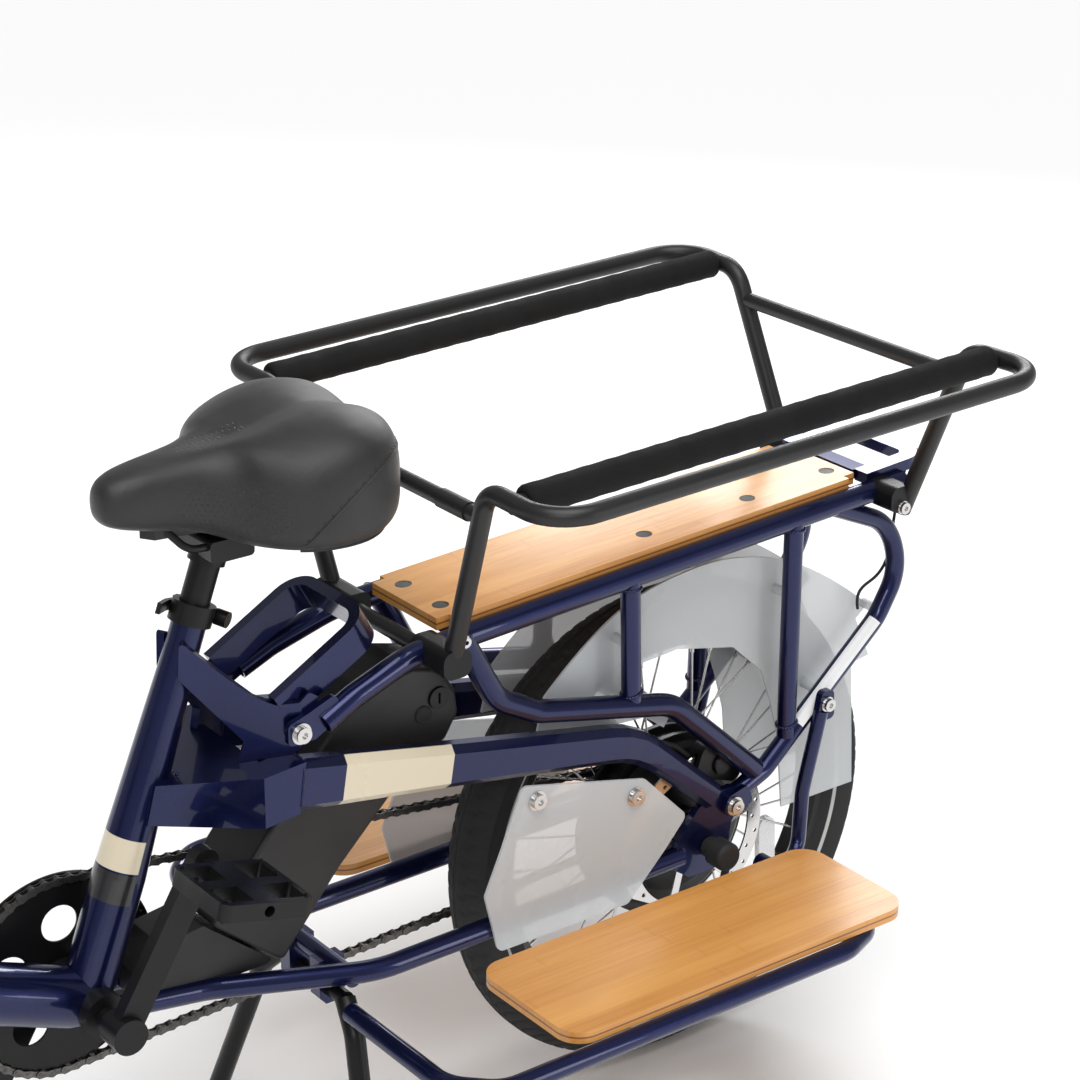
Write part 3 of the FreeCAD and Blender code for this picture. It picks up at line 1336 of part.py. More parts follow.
# ================================================================ saddle
def saddle_outline(scale):
    """Plan of the saddle: round wide tail and narrow nose."""
    half = [(640, 0), (628, 20), (560, 30), (505, 48), (470, 88), (425, 112), (388, 98), (368, 50), (366, 0)]
    return [(x, y * scale) for x, y in half]


def saddle():
    """Cushioned saddle, as a plain closed solid."""
    half = saddle_outline(1.0)
    plan = half + [(x, -y) for x, y in reversed(half[1:-1])]
    loop = [at(x, y, 690) for x, y in plan]
    body = Part.Face(Part.makePolygon(loop + loop[:1])).extrude(FreeCAD.Vector(0, 0, 130))
    side = plate([(640, 756), (610, 770), (540, 776), (470, 806), (420, 812), (366, 790), (360, 745),
                  (392, 712), (470, 706), (560, 722), (634, 724)], -120, 240)
    body = body.common(side)
    return body.cut(saddle_shell())


def saddle_shell():
    """Moulded base plate under the cushion."""
    shape = [(586, 0), (578, 12), (540, 18), (490, 34), (462, 66), (420, 84), (392, 70), (384, 0)]
    plan = shape + [(x, -y) for x, y in reversed(shape[1:-1])]
    loop = [at(x, y, SHELL_Z) for x, y in plan]
    return Part.Face(Part.makePolygon(loop + loop[:1])).extrude(FreeCAD.Vector(0, 0, SHELL_T))


def saddle_rails():
    """Two steel rails under the saddle."""
    points = [at(572, 8, 720), at(552, 22, 696), at(470, 22, 690), at(410, 34, 716)]
    rail = pipe(points, 3.5, [20.0, 40.0])
    return pair(rail.cut(saddle_shell()))


def seatpost():
    """Seatpost tube."""
    top = on_seat(SEAT_TUBE_LEN + 54)
    return rod(on_seat(SEAT_TUBE_LEN - 170), top, SEATPOST_R)


def saddle_clamp():
    """Seatpost head that grips both rails."""
    top = on_seat(SEAT_TUBE_LEN + 40)
    sleeve = rod(top, on_seat(SEAT_TUBE_LEN + 60), 17.0)
    block = Part.makeBox(44, 58, 20, at(490, -29, 680))
    block = round_corners(block, 4.0, LEFT)
    body = fused(sleeve, block).cut(seatpost()).cut(saddle_rails())
    return body.cut(saddle_shell())


def rack_bolts():
    """Silver button-head bolts with washers, all over the rear frame."""
    places = [at(477, 75.0, 522), at(-27, DROPOUT_Y + DROPOUT_T / 2 + 7.0, 300)]
    places += [at(x, GUARD_Y + 3.0, z) for x, z in guard_bolt_places()]
    solids = [bolt(place, LEFT, 4.0, 3.0) for place in places]
    return pair(Part.makeCompound(solids))


def clamp_bolts():
    """Small socket bolts in the rail clamps and the foot board struts."""
    solids = [bolt(at(302, RAIL_Y + RAIL_R - 0.2, 565), LEFT, 3.0, 1.6, 5.0, 3.0, 6.0)]
    solids.append(bolt(at(-222, LEG_FOOT_Y + 3.0, 582), LEFT, 3.0, 2.0, 6.0, 4.0, 7.0))
    solids.append(bolt(at(-141, SIDE_Y + 19.0, 384), LEFT, 3.5, 3.0, 6.5, 4.5, 8.0))
    return pair(Part.makeCompound(solids))


def power_button():
    """Round power button that presses into the display's side."""
    stem_end = BUTTON + LEFT * 2.0
    return fused(rod(BUTTON - LEFT * 6.0, stem_end, 4.0), rod(BUTTON + LEFT * 1.6, BUTTON + LEFT * 3.2, 5.2))


NODES = {
    "seat_tube": (seat_tube,),
    "down_tube": (down_tube,),
    "head_tube": (head_tube, headset_cups),
    "bottom_bracket": (bottom_bracket_shell, bearing_cups),
    "main_stays": (main_stays,),
    "lower_stays": (lower_stays, dropouts, stand_bridge),
    "lifting_yoke": (yoke_plates, yoke_box),
    "lift_handle": (lift_handle,),
    "rack_rails": (rack_rails,),
    "rack_side_frames": (rack_side_tubes, rack_struts),
    "rack_tail_tubes": (rack_tail_tubes, rack_tabs),
    "rack_cross_braces": (rack_cross_braces, rear_loop),
    "deck": (deck,),
    "deck_screws": (deck_screws,),
    "rack_bolts": (rack_bolts, clamp_bolts),
    "hoops": (hoops, grip_bars),
    "hoop_cross_tubes": (hoop_cross_tubes, cross_tube_sleeve, low_cross_tube),
    "foam_grips": (foam_grips,),
    "clamps": (rail_clamps, seat_collar),
    "side_guards": (skirts, skirt_clips, heel_guards),
    "board_frames": (board_frames, board_struts),
    "foot_boards": (foot_boards,),
    "battery_case": (battery_case,),
    "battery_tray": (battery_tray,),
    "key_lock": (key_lock,),
    "qr_lever": (qr_lever,),
    "tail_light": (tail_light,),
    "rear_axle": (axle_and_nuts, axle_caps),
    "cables": (motor_cable, brake_hose),
    "rear_caliper": (rear_caliper,),
    "rear_tyre": (lambda: tyre(REAR_AXLE),),
    "rear_rim": (lambda: rim(REAR_AXLE),),
    "rear_spokes": (lambda: spokes(REAR_AXLE, MOTOR_FLANGE_R - 3.5, MOTOR_W / 2 - 10.5, SPOKE_OFFSET),),
    "hub_motor": (hub_motor,),
    "rear_rotor": (rear_rotor,),
    "front_tyre": (lambda: tyre(FRONT_AXLE),),
    "front_rim": (lambda: rim(FRONT_AXLE),),
    "front_hub": (front_hub,),
    "front_spokes": (lambda: spokes(FRONT_AXLE, FRONT_FLANGE_R - 3, FRONT_FLANGE_Y, SPOKE_OFFSET),),
    "front_rotor": (front_rotor,),
    "fork": (fork, front_axle),
    "front_caliper": (front_caliper,),
    "front_fender": (front_fender, front_fender_stays),
    "stem_and_bar": (stem, spacer_stack, handlebar),
    "bar_grips": (bar_grips,),
    "bar_controls": (lever_bodies, display, bell),
    "power_button": (power_button,),
    "brake_lever_left": (lambda: lever_blade(1),),
    "brake_lever_right": (lambda: lever_blade(-1),),
    "headlight": (headlight,),
    "crank_arms": (crank_left, crank_right, crank_spindle),
    "chainring": (chainring, chain_guard),
    "pedal_left": (lambda: pedal(1),),
    "pedal_right": (lambda: pedal(-1),),
    "rear_sprocket": (rear_sprocket,),
    "chain": (chain,),
    "stand_legs": (stand_legs, stand_feet),
    "saddle": (saddle,),
    "saddle_shell": (saddle_shell,),
    "seatpost": (seatpost, saddle_clamp, saddle_rails),
}


def main():
    """Writes one file for each node."""
    os.makedirs("parts", exist_ok=True)
    for name, makers in NODES.items():
        shape = group(*[make() for make in makers])
        if not shape.Solids or not shape.isValid():
            print("check", name, len(shape.Solids), shape.isValid())
        shape.exportStep("parts/" + name + ".step")


main()
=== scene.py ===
import json
import math

import bmesh
import bpy
from bpy.props import (BoolProperty, FloatProperty, FloatVectorProperty, IntProperty,
                       PointerProperty)
from mathutils import Matrix, Vector
from mathutils.bvhtree import BVHTree


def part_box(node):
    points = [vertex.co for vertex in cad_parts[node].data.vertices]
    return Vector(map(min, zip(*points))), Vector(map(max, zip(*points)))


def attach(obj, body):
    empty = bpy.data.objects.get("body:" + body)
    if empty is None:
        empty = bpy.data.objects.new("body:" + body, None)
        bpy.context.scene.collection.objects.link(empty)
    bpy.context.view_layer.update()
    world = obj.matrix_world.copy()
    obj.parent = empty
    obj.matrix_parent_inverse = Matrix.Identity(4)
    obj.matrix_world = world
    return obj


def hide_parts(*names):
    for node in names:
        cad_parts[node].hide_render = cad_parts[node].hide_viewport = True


bl_info = {
    "name": "Longtail cargo bicycle",
    "version": (1, 0, 0),
    "blender": (4, 5, 0),
    "location": "3D View > Sidebar > Bicycle",
    "description": "Finishes, cushion, grips, tyres, chain and small trims of a longtail cargo bicycle",
    "category": "Add Mesh",
}

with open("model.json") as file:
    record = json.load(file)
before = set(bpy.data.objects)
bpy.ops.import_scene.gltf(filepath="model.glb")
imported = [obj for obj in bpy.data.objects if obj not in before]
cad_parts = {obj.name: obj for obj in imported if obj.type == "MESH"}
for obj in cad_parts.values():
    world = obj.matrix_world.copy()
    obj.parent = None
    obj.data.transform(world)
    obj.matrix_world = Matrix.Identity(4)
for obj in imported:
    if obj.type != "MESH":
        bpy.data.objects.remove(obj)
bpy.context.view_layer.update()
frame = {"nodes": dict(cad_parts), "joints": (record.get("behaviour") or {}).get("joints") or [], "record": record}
NODES = frame["nodes"]
JOINTS = {joint["name"]: joint for joint in frame["joints"]}
MM = 0.001

SEAT_LEAN = math.radians(20.25)
DECK_SLOPE = 0.0541
DECK_BASE_Z = 599.4
STRUT_DROP = 29.5
RAIL_Y = 67
SIDE_Y = 71
PANEL_LEAN = 0.16
PANEL_LEVEL = 0.46
PANEL_REAR_X = 318
PANEL_FRONT_X = 439
STAY_END = 0.034
CREAM_BAND = (0.128, 0.158)
BLACK_BAND = (0.098, 0.126)
PAINT_METALLIC = 0.78
HOLE_PITCH = 0.0050
CHAIN_PLATE = 0.0039
CLOTH_FRAMES = 20


def joint_point(name):
    return Vector(JOINTS[name]["pos_m"])


REAR_AXLE = joint_point("rear_wheel_spin")
FRONT_AXLE = joint_point("front_wheel_spin")
CRANK_AXLE = joint_point("crank_spin")


def off(x, y, z):
    """A point, in millimetres ahead of the rear axle, left of the middle and above the ground."""
    return Vector((REAR_AXLE.x + x * MM, y * MM, z * MM))


# ---------------------------------------------------------------- settings
class BicycleSizes(bpy.types.PropertyGroup):
    tyre_stripe_radius: FloatProperty(
        name="Tyre stripe radius", description="Radius of the pale sidewall stripe",
        default=0.223, unit="LENGTH")
    tyre_stripe_width: FloatProperty(
        name="Tyre stripe width", description="Width of the pale sidewall stripe",
        default=0.0036, unit="LENGTH")
    tread_lugs: IntProperty(
        name="Tread lugs", description="Lugs round each shoulder of a tyre", default=90, min=12)
    cushion_swell: FloatProperty(
        name="Cushion swell", description="Furthest the saddle's skin may move as it fills",
        default=0.006, unit="LENGTH")
    cushion_voxel: FloatProperty(
        name="Cushion voxel", description="Voxel size of the saddle's skin", default=0.005,
        unit="LENGTH")
    link_pitch: FloatProperty(
        name="Chain pitch", description="Distance between two pins of the chain",
        default=0.0127, unit="LENGTH")
    simulate: BoolProperty(
        name="Simulate cushion", description="Fill the saddle's skin by cloth simulation",
        default=True)


def colour(name, description, value):
    return FloatVectorProperty(name=name, description=description, default=value,
                               subtype="COLOR", size=3, min=0.0, max=1.0)


class BicycleColours(bpy.types.PropertyGroup):
    navy: colour("Frame paint", "Metallic paint of the frame and rack", (0.0055, 0.009, 0.058))
    black_coat: colour("Black coat", "Powder coat of the hand rails", (0.010, 0.010, 0.0105))
    bamboo_light: colour("Bamboo, light", "Light strips of the bamboo", (0.73, 0.355, 0.092))
    bamboo_dark: colour("Bamboo, dark", "Dark strips of the bamboo", (0.56, 0.235, 0.050))
    cream: colour("Cream", "Cream panel of the main stay", (0.66, 0.58, 0.43))
    rubber: colour("Rubber", "Tyres and rubber parts", (0.010, 0.010, 0.0105))
    vinyl: colour("Vinyl", "Saddle cover", (0.0065, 0.0065, 0.0068))
    frosted: colour("Frosted guard", "Wheel skirts and heel guards", (0.66, 0.685, 0.705))
    steel: colour("Steel", "Bolts, spokes and rotors", (0.62, 0.61, 0.60))
    lens: colour("Rear lens", "Lens of the tail light", (0.62, 0.012, 0.014))


def sizes():
    return bpy.context.scene.bicycle_sizes


def colours():
    return bpy.context.scene.bicycle_colours


# ---------------------------------------------------------------- shader groups
def new_group(name, inputs, outputs):
    """An empty shader group with named sockets: (name, kind, default) for inputs."""
    tree = bpy.data.node_groups.new(name, "ShaderNodeTree")
    for label, kind, value in inputs:
        socket = tree.interface.new_socket(label, in_out="INPUT", socket_type=kind)
        socket.default_value = value
    for label, kind in outputs:
        tree.interface.new_socket(label, in_out="OUTPUT", socket_type=kind)
    start = tree.nodes.new("NodeGroupInput")
    end = tree.nodes.new("NodeGroupOutput")
    return tree, start, end


def math_node(tree, kind, a, b=None, c=None):
    """A Math node; a, b and c are sockets or numbers."""
    node = tree.nodes.new("ShaderNodeMath")
    node.operation = kind
    for index, value in enumerate((a, b, c)):
        if value is None:
            continue
        if isinstance(value, (int, float)):
            node.inputs[index].default_value = value
        else:
            tree.links.new(value, node.inputs[index])
    return node.outputs[0]


def object_axes(tree):
    """X, Y and Z of the surface point in the object's own space."""
    place = tree.nodes.new("ShaderNodeTexCoord")
    split = tree.nodes.new("ShaderNodeSeparateXYZ")
    tree.links.new(place.outputs["Object"], split.inputs[0])
    return place.outputs["Object"], split.outputs


def noise_node(tree, vector, scale, detail=3.0, rough=0.55):
    """Noise whose scale is a number or a socket."""
    node = tree.nodes.new("ShaderNodeTexNoise")
    node.inputs["Detail"].default_value = detail
    node.inputs["Roughness"].default_value = rough
    if isinstance(scale, (int, float)):
        node.inputs["Scale"].default_value = scale
    else:
        tree.links.new(scale, node.inputs["Scale"])
    tree.links.new(vector, node.inputs["Vector"])
    return node.outputs["Fac"]


def distance_node(tree, across, up):
    """Length of the two sides of a right angle."""
    squares = [math_node(tree, "MULTIPLY", side, side) for side in (across, up)]
    return math_node(tree, "SQRT", math_node(tree, "ADD", *squares))


def ramp(tree, value, low, high, out_low=0.0, out_high=1.0):
    """A number scaled from one span to another and held at its ends."""
    node = tree.nodes.new("ShaderNodeMapRange")
    tree.links.new(value, node.inputs["Value"])
    for label, number in (("From Min", low), ("From Max", high), ("To Min", out_low), ("To Max", out_high)):
        if isinstance(number, (int, float)):
            node.inputs[label].default_value = number
        else:
            tree.links.new(number, node.inputs[label])
    return node.outputs["Result"]


def make_wear_group():
    """Uneven gloss and faint handling marks, from broad and fine noise."""
    tree, start, end = new_group(
        "surface_wear",
        [("Scale", "NodeSocketFloat", 12.0), ("Low", "NodeSocketFloat", 0.25),
         ("High", "NodeSocketFloat", 0.4), ("Fine", "NodeSocketFloat", 900.0)],
        [("Roughness", "NodeSocketFloat"), ("Height", "NodeSocketFloat"), ("Mask", "NodeSocketFloat")])
    vector, _ = object_axes(tree)
    broad = noise_node(tree, vector, start.outputs["Scale"], 5.0, 0.6)
    fine = noise_node(tree, vector, start.outputs["Fine"], 2.0, 0.5)
    mask = ramp(tree, broad, 0.35, 0.68)
    blend = math_node(tree, "MULTIPLY_ADD", fine, 0.25, math_node(tree, "MULTIPLY", mask, 0.75))
    rough = ramp(tree, blend, 0.0, 1.0, start.outputs["Low"], start.outputs["High"])
    tree.links.new(rough, end.inputs["Roughness"])
    tree.links.new(fine, end.inputs["Height"])
    tree.links.new(mask, end.inputs["Mask"])
    return tree


def make_grain_group():
    """Pebbled grain of moulded plastic, rubber and vinyl."""
    tree, start, end = new_group(
        "fine_grain",
        [("Scale", "NodeSocketFloat", 700.0), ("Pits", "NodeSocketFloat", 0.5)],
        [("Height", "NodeSocketFloat"), ("Mask", "NodeSocketFloat")])
    vector, _ = object_axes(tree)
    cells = tree.nodes.new("ShaderNodeTexVoronoi")
    cells.feature = "F1"
    tree.links.new(start.outputs["Scale"], cells.inputs["Scale"])
    tree.links.new(vector, cells.inputs["Vector"])
    soft = noise_node(tree, vector, start.outputs["Scale"], 2.0, 0.5)
    pits = math_node(tree, "MULTIPLY", cells.outputs["Distance"], start.outputs["Pits"])
    tree.links.new(math_node(tree, "ADD", pits, soft), end.inputs["Height"])
    tree.links.new(ramp(tree, soft, 0.4, 0.65), end.inputs["Mask"])
    return tree


def make_bamboo_group():
    """Edge-glued bamboo strips along X, with long grain, knots and dark glue lines in the edges."""
    tree, start, end = new_group(
        "bamboo",
        [("Light", "NodeSocketColor", (0.8, 0.5, 0.2, 1)), ("Dark", "NodeSocketColor", (0.6, 0.3, 0.1, 1)),
         ("Strip", "NodeSocketFloat", 0.019), ("Middle", "NodeSocketFloat", 0.58),
         ("Slope", "NodeSocketFloat", 0.054)],
        [("Color", "NodeSocketColor"), ("Roughness", "NodeSocketFloat"), ("Height", "NodeSocketFloat")])
    vector, axes = object_axes(tree)
    strip = math_node(tree, "FLOOR", math_node(tree, "DIVIDE", axes["Y"], start.outputs["Strip"]))
    draw = tree.nodes.new("ShaderNodeTexWhiteNoise")
    draw.noise_dimensions = "1D"
    tree.links.new(strip, draw.inputs["W"])
    stretch = tree.nodes.new("ShaderNodeMapping")
    stretch.inputs["Scale"].default_value = (7.0, 260.0, 260.0)
    tree.links.new(vector, stretch.inputs["Vector"])
    grain = noise_node(tree, stretch.outputs[0], 1.0, 4.0, 0.6)
    cloud = tree.nodes.new("ShaderNodeMapping")
    cloud.inputs["Scale"].default_value = (9.0, 30.0, 30.0)
    tree.links.new(vector, cloud.inputs["Vector"])
    shade = noise_node(tree, cloud.outputs[0], 1.0, 2.0, 0.5)
    knot_place = math_node(tree, "ADD", math_node(tree, "MULTIPLY", axes["X"], 4.3),
                           math_node(tree, "MULTIPLY", draw.outputs["Value"], 7.0))
    knot = math_node(tree, "ABSOLUTE", math_node(tree, "SUBTRACT", math_node(tree, "FRACT", knot_place), 0.5))
    knot = ramp(tree, knot, 0.0, 0.012, 1.0, 0.0)
    tilt = math_node(tree, "MULTIPLY_ADD", axes["X"], start.outputs["Slope"], axes["Z"])
    level = math_node(tree, "ABSOLUTE", math_node(tree, "SUBTRACT", tilt, start.outputs["Middle"]))
    glue = ramp(tree, level, 0.0006, 0.0012, 1.0, 0.0)
    amount = math_node(tree, "MULTIPLY_ADD", grain, 0.55, math_node(tree, "MULTIPLY", shade, 0.45))
    amount = math_node(tree, "SUBTRACT", amount, 0.16)
    amount = math_node(tree, "MULTIPLY_ADD", draw.outputs["Value"], 0.28, amount)
    amount = ramp(tree, amount, 0.25, 0.75)
    mix = tree.nodes.new("ShaderNodeMix")
    mix.data_type = "RGBA"
    tree.links.new(amount, mix.inputs["Factor"])
    tree.links.new(start.outputs["Light"], mix.inputs["A"])
    tree.links.new(start.outputs["Dark"], mix.inputs["B"])
    darker = tree.nodes.new("ShaderNodeMix")
    darker.data_type = "RGBA"
    darker.blend_type = "MULTIPLY"
    marks = math_node(tree, "MAXIMUM", math_node(tree, "MULTIPLY", knot, 0.10),
                      math_node(tree, "MULTIPLY", glue, 0.8))
    tree.links.new(marks, darker.inputs["Factor"])
    tree.links.new(mix.outputs["Result"], darker.inputs["A"])
    darker.inputs["B"].default_value = (0.22, 0.10, 0.04, 1)
    tree.links.new(darker.outputs["Result"], end.inputs["Color"])
    tree.links.new(ramp(tree, grain, 0.3, 0.7, 0.30, 0.44), end.inputs["Roughness"])
    tree.links.new(grain, end.inputs["Height"])
    return tree


GROUPS = {}


def group(name):
    """The shared shader group of that name, made once."""
    makers = {"surface_wear": make_wear_group, "fine_grain": make_grain_group, "bamboo": make_bamboo_group}
    if name not in GROUPS:
        GROUPS[name] = makers[name]()
    return GROUPS[name]


class Finish:
    """A material under construction: its tree, its shader and the last height that feeds Normal."""

    def __init__(self, name, base, metallic=0.0, roughness=0.4, **uniform):
        self.material = bpy.data.materials.new(name)
        self.material.use_nodes = True
        self.tree = self.material.node_tree
        self.shader = self.tree.nodes["Principled BSDF"]
        self.shader.inputs["Base Color"].default_value = (*base[:3], 1.0)
        self.shader.inputs["Metallic"].default_value = metallic
        self.shader.inputs["Roughness"].default_value = roughness
        for label, value in uniform.items():
            self.shader.inputs[label.replace("_", " ")].default_value = value

    def place(self, name, **values):
        node = self.tree.nodes.new("ShaderNodeGroup")
        node.node_tree = group(name)
        for label, value in values.items():
            node.inputs[label].default_value = value
        return node

    def link(self, socket, label):
        self.tree.links.new(socket, self.shader.inputs[label])

    def bump(self, socket, distance, strength=1.0):
        node = self.tree.nodes.new("ShaderNodeBump")
        node.inputs["Strength"].default_value = strength
        node.inputs["Distance"].default_value = distance
        self.tree.links.new(socket, node.inputs["Height"])
        self.link(node.outputs[0], "Normal")

    def wear(self, low, high, scale=12.0, fine=900.0, depth=0.0):
        node = self.place("surface_wear", Low=low, High=high, Scale=scale, Fine=fine)
        self.link(node.outputs["Roughness"], "Roughness")
        if depth:
            self.bump(node.outputs["Height"], depth)
        return node

    def grain(self, scale, depth, pits=0.5):
        node = self.place("fine_grain", Scale=scale, Pits=pits)
        self.bump(node.outputs["Height"], depth)
        return node

    def paint_mask(self, mask, over, under=None):
        """Mixes another colour over the base where the mask is 1."""
        mix = self.tree.nodes.new("ShaderNodeMix")
        mix.data_type = "RGBA"
        self.tree.links.new(mask, mix.inputs["Factor"])
        if under is None:
            mix.inputs["A"].default_value = self.shader.inputs["Base Color"].default_value
        else:
            self.tree.links.new(under, mix.inputs["A"])
        mix.inputs["B"].default_value = (*over[:3], 1.0)
        self.link(mix.outputs["Result"], "Base Color")
        return mix.outputs["Result"]


def between(tree, value, low, high, soft=0.0002):
    """1 between low and high, 0 outside, with a short edge."""
    rise = ramp(tree, value, low - soft, low + soft)
    fall = ramp(tree, value, high - soft, high + soft, 1.0, 0.0)
    return math_node(tree, "MULTIPLY", rise, fall)


# ---------------------------------------------------------------- finishes
def navy_finish(name="navy_paint"):
    """Clear-coated metallic paint with fine flake."""
    finish = Finish(name, colours().navy, PAINT_METALLIC, 0.32, Coat_Weight=0.55, Coat_Roughness=0.04)
    tree = finish.tree
    vector, _ = object_axes(tree)
    flake = noise_node(tree, vector, 2600.0, 1.0, 0.4)
    spark = ramp(tree, flake, 0.60, 0.74)
    finish.paint_mask(math_node(tree, "MULTIPLY", spark, 0.30), (0.05, 0.07, 0.36))
    finish.wear(0.25, 0.38, 9.0, 2200.0, 0.00002)
    return finish


def stay_finish():
    """Frame paint with the cream panel on both sides of the main stays."""
    finish = navy_finish("navy_paint_cream_panel")
    tree = finish.tree
    _, axes = object_axes(tree)
    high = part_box("main_stays")[1]
    shift = PANEL_LEAN * PANEL_LEVEL
    lean = math_node(tree, "MULTIPLY_ADD", axes["Z"], PANEL_LEAN, axes["X"])
    start = off(PANEL_REAR_X, 0, 0).x + shift
    end = min(off(PANEL_FRONT_X, 0, 0).x, high.x - STAY_END) + shift
    along = between(tree, lean, start, end)
    side = math_node(tree, "ABSOLUTE", axes["Y"])
    outer = ramp(tree, side, high.y - 0.0085, high.y - 0.0075)
    mask = math_node(tree, "MULTIPLY", along, outer)
    under = finish.shader.inputs["Base Color"].links[0].from_socket
    finish.paint_mask(mask, colours().cream, under)
    finish.link(ramp(tree, mask, 0.0, 1.0, PAINT_METALLIC, 0.0), "Metallic")
    return finish


def seat_tube_finish():
    """Frame paint with a cream and a black band low on the seat tube's left face."""
    finish = navy_finish("navy_paint_bands")
    tree = finish.tree
    _, axes = object_axes(tree)
    x = math_node(tree, "SUBTRACT", axes["X"], CRANK_AXLE.x)
    z = math_node(tree, "SUBTRACT", axes["Z"], CRANK_AXLE.z)
    along = math_node(tree, "ADD", math_node(tree, "MULTIPLY", x, -math.sin(SEAT_LEAN)),
                      math_node(tree, "MULTIPLY", z, math.cos(SEAT_LEAN)))
    ahead = math_node(tree, "ADD", math_node(tree, "MULTIPLY", x, math.cos(SEAT_LEAN)),
                      math_node(tree, "MULTIPLY", z, math.sin(SEAT_LEAN)))
    front = ramp(tree, ahead, -0.004, -0.003)
    cream = math_node(tree, "MULTIPLY", between(tree, along, *CREAM_BAND), front)
    black = math_node(tree, "MULTIPLY", between(tree, along, *BLACK_BAND), front)
    under = finish.shader.inputs["Base Color"].links[0].from_socket
    mixed = finish.paint_mask(cream, colours().cream, under)
    finish.paint_mask(black, (0.01, 0.01, 0.011), mixed)
    bands = math_node(tree, "MAXIMUM", cream, black)
    finish.link(ramp(tree, bands, 0.0, 1.0, PAINT_METALLIC, 0.0), "Metallic")
    return finish


def black_coat_finish():
    finish = Finish("black_powder_coat", colours().black_coat, 0.0, 0.42, Specular_IOR_Level=0.45)
    finish.wear(0.34, 0.50, 14.0, 1500.0, 0.00006)
    return finish


def black_alloy_finish():
    finish = Finish("black_anodised_alloy", (0.012, 0.012, 0.0125), 0.55, 0.38)
    finish.wear(0.28, 0.46, 30.0, 1800.0, 0.00003)
    return finish


def steel_finish(name="polished_steel", low=0.14, high=0.32):
    finish = Finish(name, colours().steel, 1.0, 0.22)
    finish.wear(low, high, 60.0, 2400.0, 0.00001)
    return finish


def chain_finish():
    finish = Finish("oiled_chain_steel", (0.16, 0.155, 0.15), 0.95, 0.36)
    node = finish.wear(0.24, 0.55, 140.0, 1800.0, 0.00003)
    oil = math_node(finish.tree, "MULTIPLY", node.outputs["Mask"], 0.5)
    finish.paint_mask(oil, (0.03, 0.028, 0.026))
    return finish


def rubber_finish():
    finish = Finish("black_rubber", colours().rubber, 0.0, 0.68)
    finish.grain(1100.0, 0.00012)
    return finish


def plastic_finish():
    finish = Finish("grained_plastic", (0.010, 0.010, 0.0105), 0.0, 0.42)
    finish.grain(1500.0, 0.00010, 0.7)
    finish.wear(0.40, 0.58, 18.0)
    return finish


def frosted_finish():
    """Milky guard plastic; thin things behind it show faintly."""
    finish = Finish("frosted_guard", colours().frosted, 0.0, 0.3, Alpha=0.62)
    finish.wear(0.22, 0.42, 7.0, 1300.0, 0.00003)
    return finish


def lens_finish():
    finish = Finish("red_lens", colours().lens, 0.0, 0.12, Coat_Weight=0.6, Emission_Strength=0.12)
    finish.shader.inputs["Emission Color"].default_value = (0.9, 0.02, 0.02, 1)
    tree = finish.tree
    _, axes = object_axes(tree)
    ribs = math_node(tree, "FRACT", math_node(tree, "MULTIPLY", axes["Y"], 320.0))
    finish.bump(math_node(tree, "ABSOLUTE", math_node(tree, "SUBTRACT", ribs, 0.5)), 0.0008)
    finish.wear(0.08, 0.2, 40.0)
    return finish


def bamboo_finish(name, middle, slope):
    finish = Finish(name, colours().bamboo_light, 0.0, 0.35, Coat_Weight=0.35, Coat_Roughness=0.22)
    node = finish.place("bamboo", Light=(*colours().bamboo_light, 1), Dark=(*colours().bamboo_dark, 1),
                        Middle=middle, Slope=slope)
    finish.link(node.outputs["Color"], "Base Color")
    finish.link(node.outputs["Roughness"], "Roughness")
    finish.bump(node.outputs["Height"], 0.00015)
    return finish


def vinyl_finish():
    """Soft vinyl with rows of small punched holes on the flanks and in the channel; the holes are painted darker
    as painted shade inside them.
    """
    finish = Finish("saddle_vinyl", colours().vinyl, 0.0, 0.45, Specular_IOR_Level=0.55,
                    Sheen_Weight=0.12, Sheen_Roughness=0.5)
    tree = finish.tree
    _, axes = object_axes(tree)
    grain = finish.place("fine_grain", Scale=1700.0, Pits=0.9)
    low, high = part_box("saddle")
    length = high.x - low.x
    side = math_node(tree, "ABSOLUTE", axes["Y"])
    level = math_node(tree, "MULTIPLY_ADD", side, 0.45, axes["Z"])
    row = math_node(tree, "DIVIDE", level, HOLE_PITCH)
    column = math_node(tree, "ADD", math_node(tree, "DIVIDE", axes["X"], HOLE_PITCH),
                       math_node(tree, "MULTIPLY", math_node(tree, "FLOOR", row), 0.5))
    across = math_node(tree, "SUBTRACT", math_node(tree, "FRACT", column), 0.5)
    updown = math_node(tree, "SUBTRACT", math_node(tree, "FRACT", row), 0.5)
    dots = ramp(tree, distance_node(tree, across, updown), 0.13, 0.20, 1.0, 0.0)
    flank_x = between(tree, axes["X"], low.x + 0.46 * length, low.x + 0.70 * length, 0.006)
    flank_z = between(tree, axes["Z"], low.z + 0.008, low.z + 0.046, 0.006)
    flank = math_node(tree, "MULTIPLY", flank_x, flank_z)
    channel_x = between(tree, axes["X"], low.x + 0.42 * length, low.x + 0.66 * length, 0.004)
    channel = math_node(tree, "MULTIPLY", channel_x, ramp(tree, side, 0.010, 0.014, 1.0, 0.0))
    dots = math_node(tree, "MULTIPLY", dots, math_node(tree, "MAXIMUM", flank, channel))
    # painted shade: the punched holes are painted darker than the vinyl, standing in for the shade inside them
    finish.paint_mask(dots, (0.004, 0.004, 0.004))
    height = math_node(tree, "SUBTRACT", math_node(tree, "MULTIPLY", grain.outputs["Height"], 0.12), dots)
    finish.bump(height, 0.0011)
    finish.wear(0.38, 0.52, 20.0)
    return finish


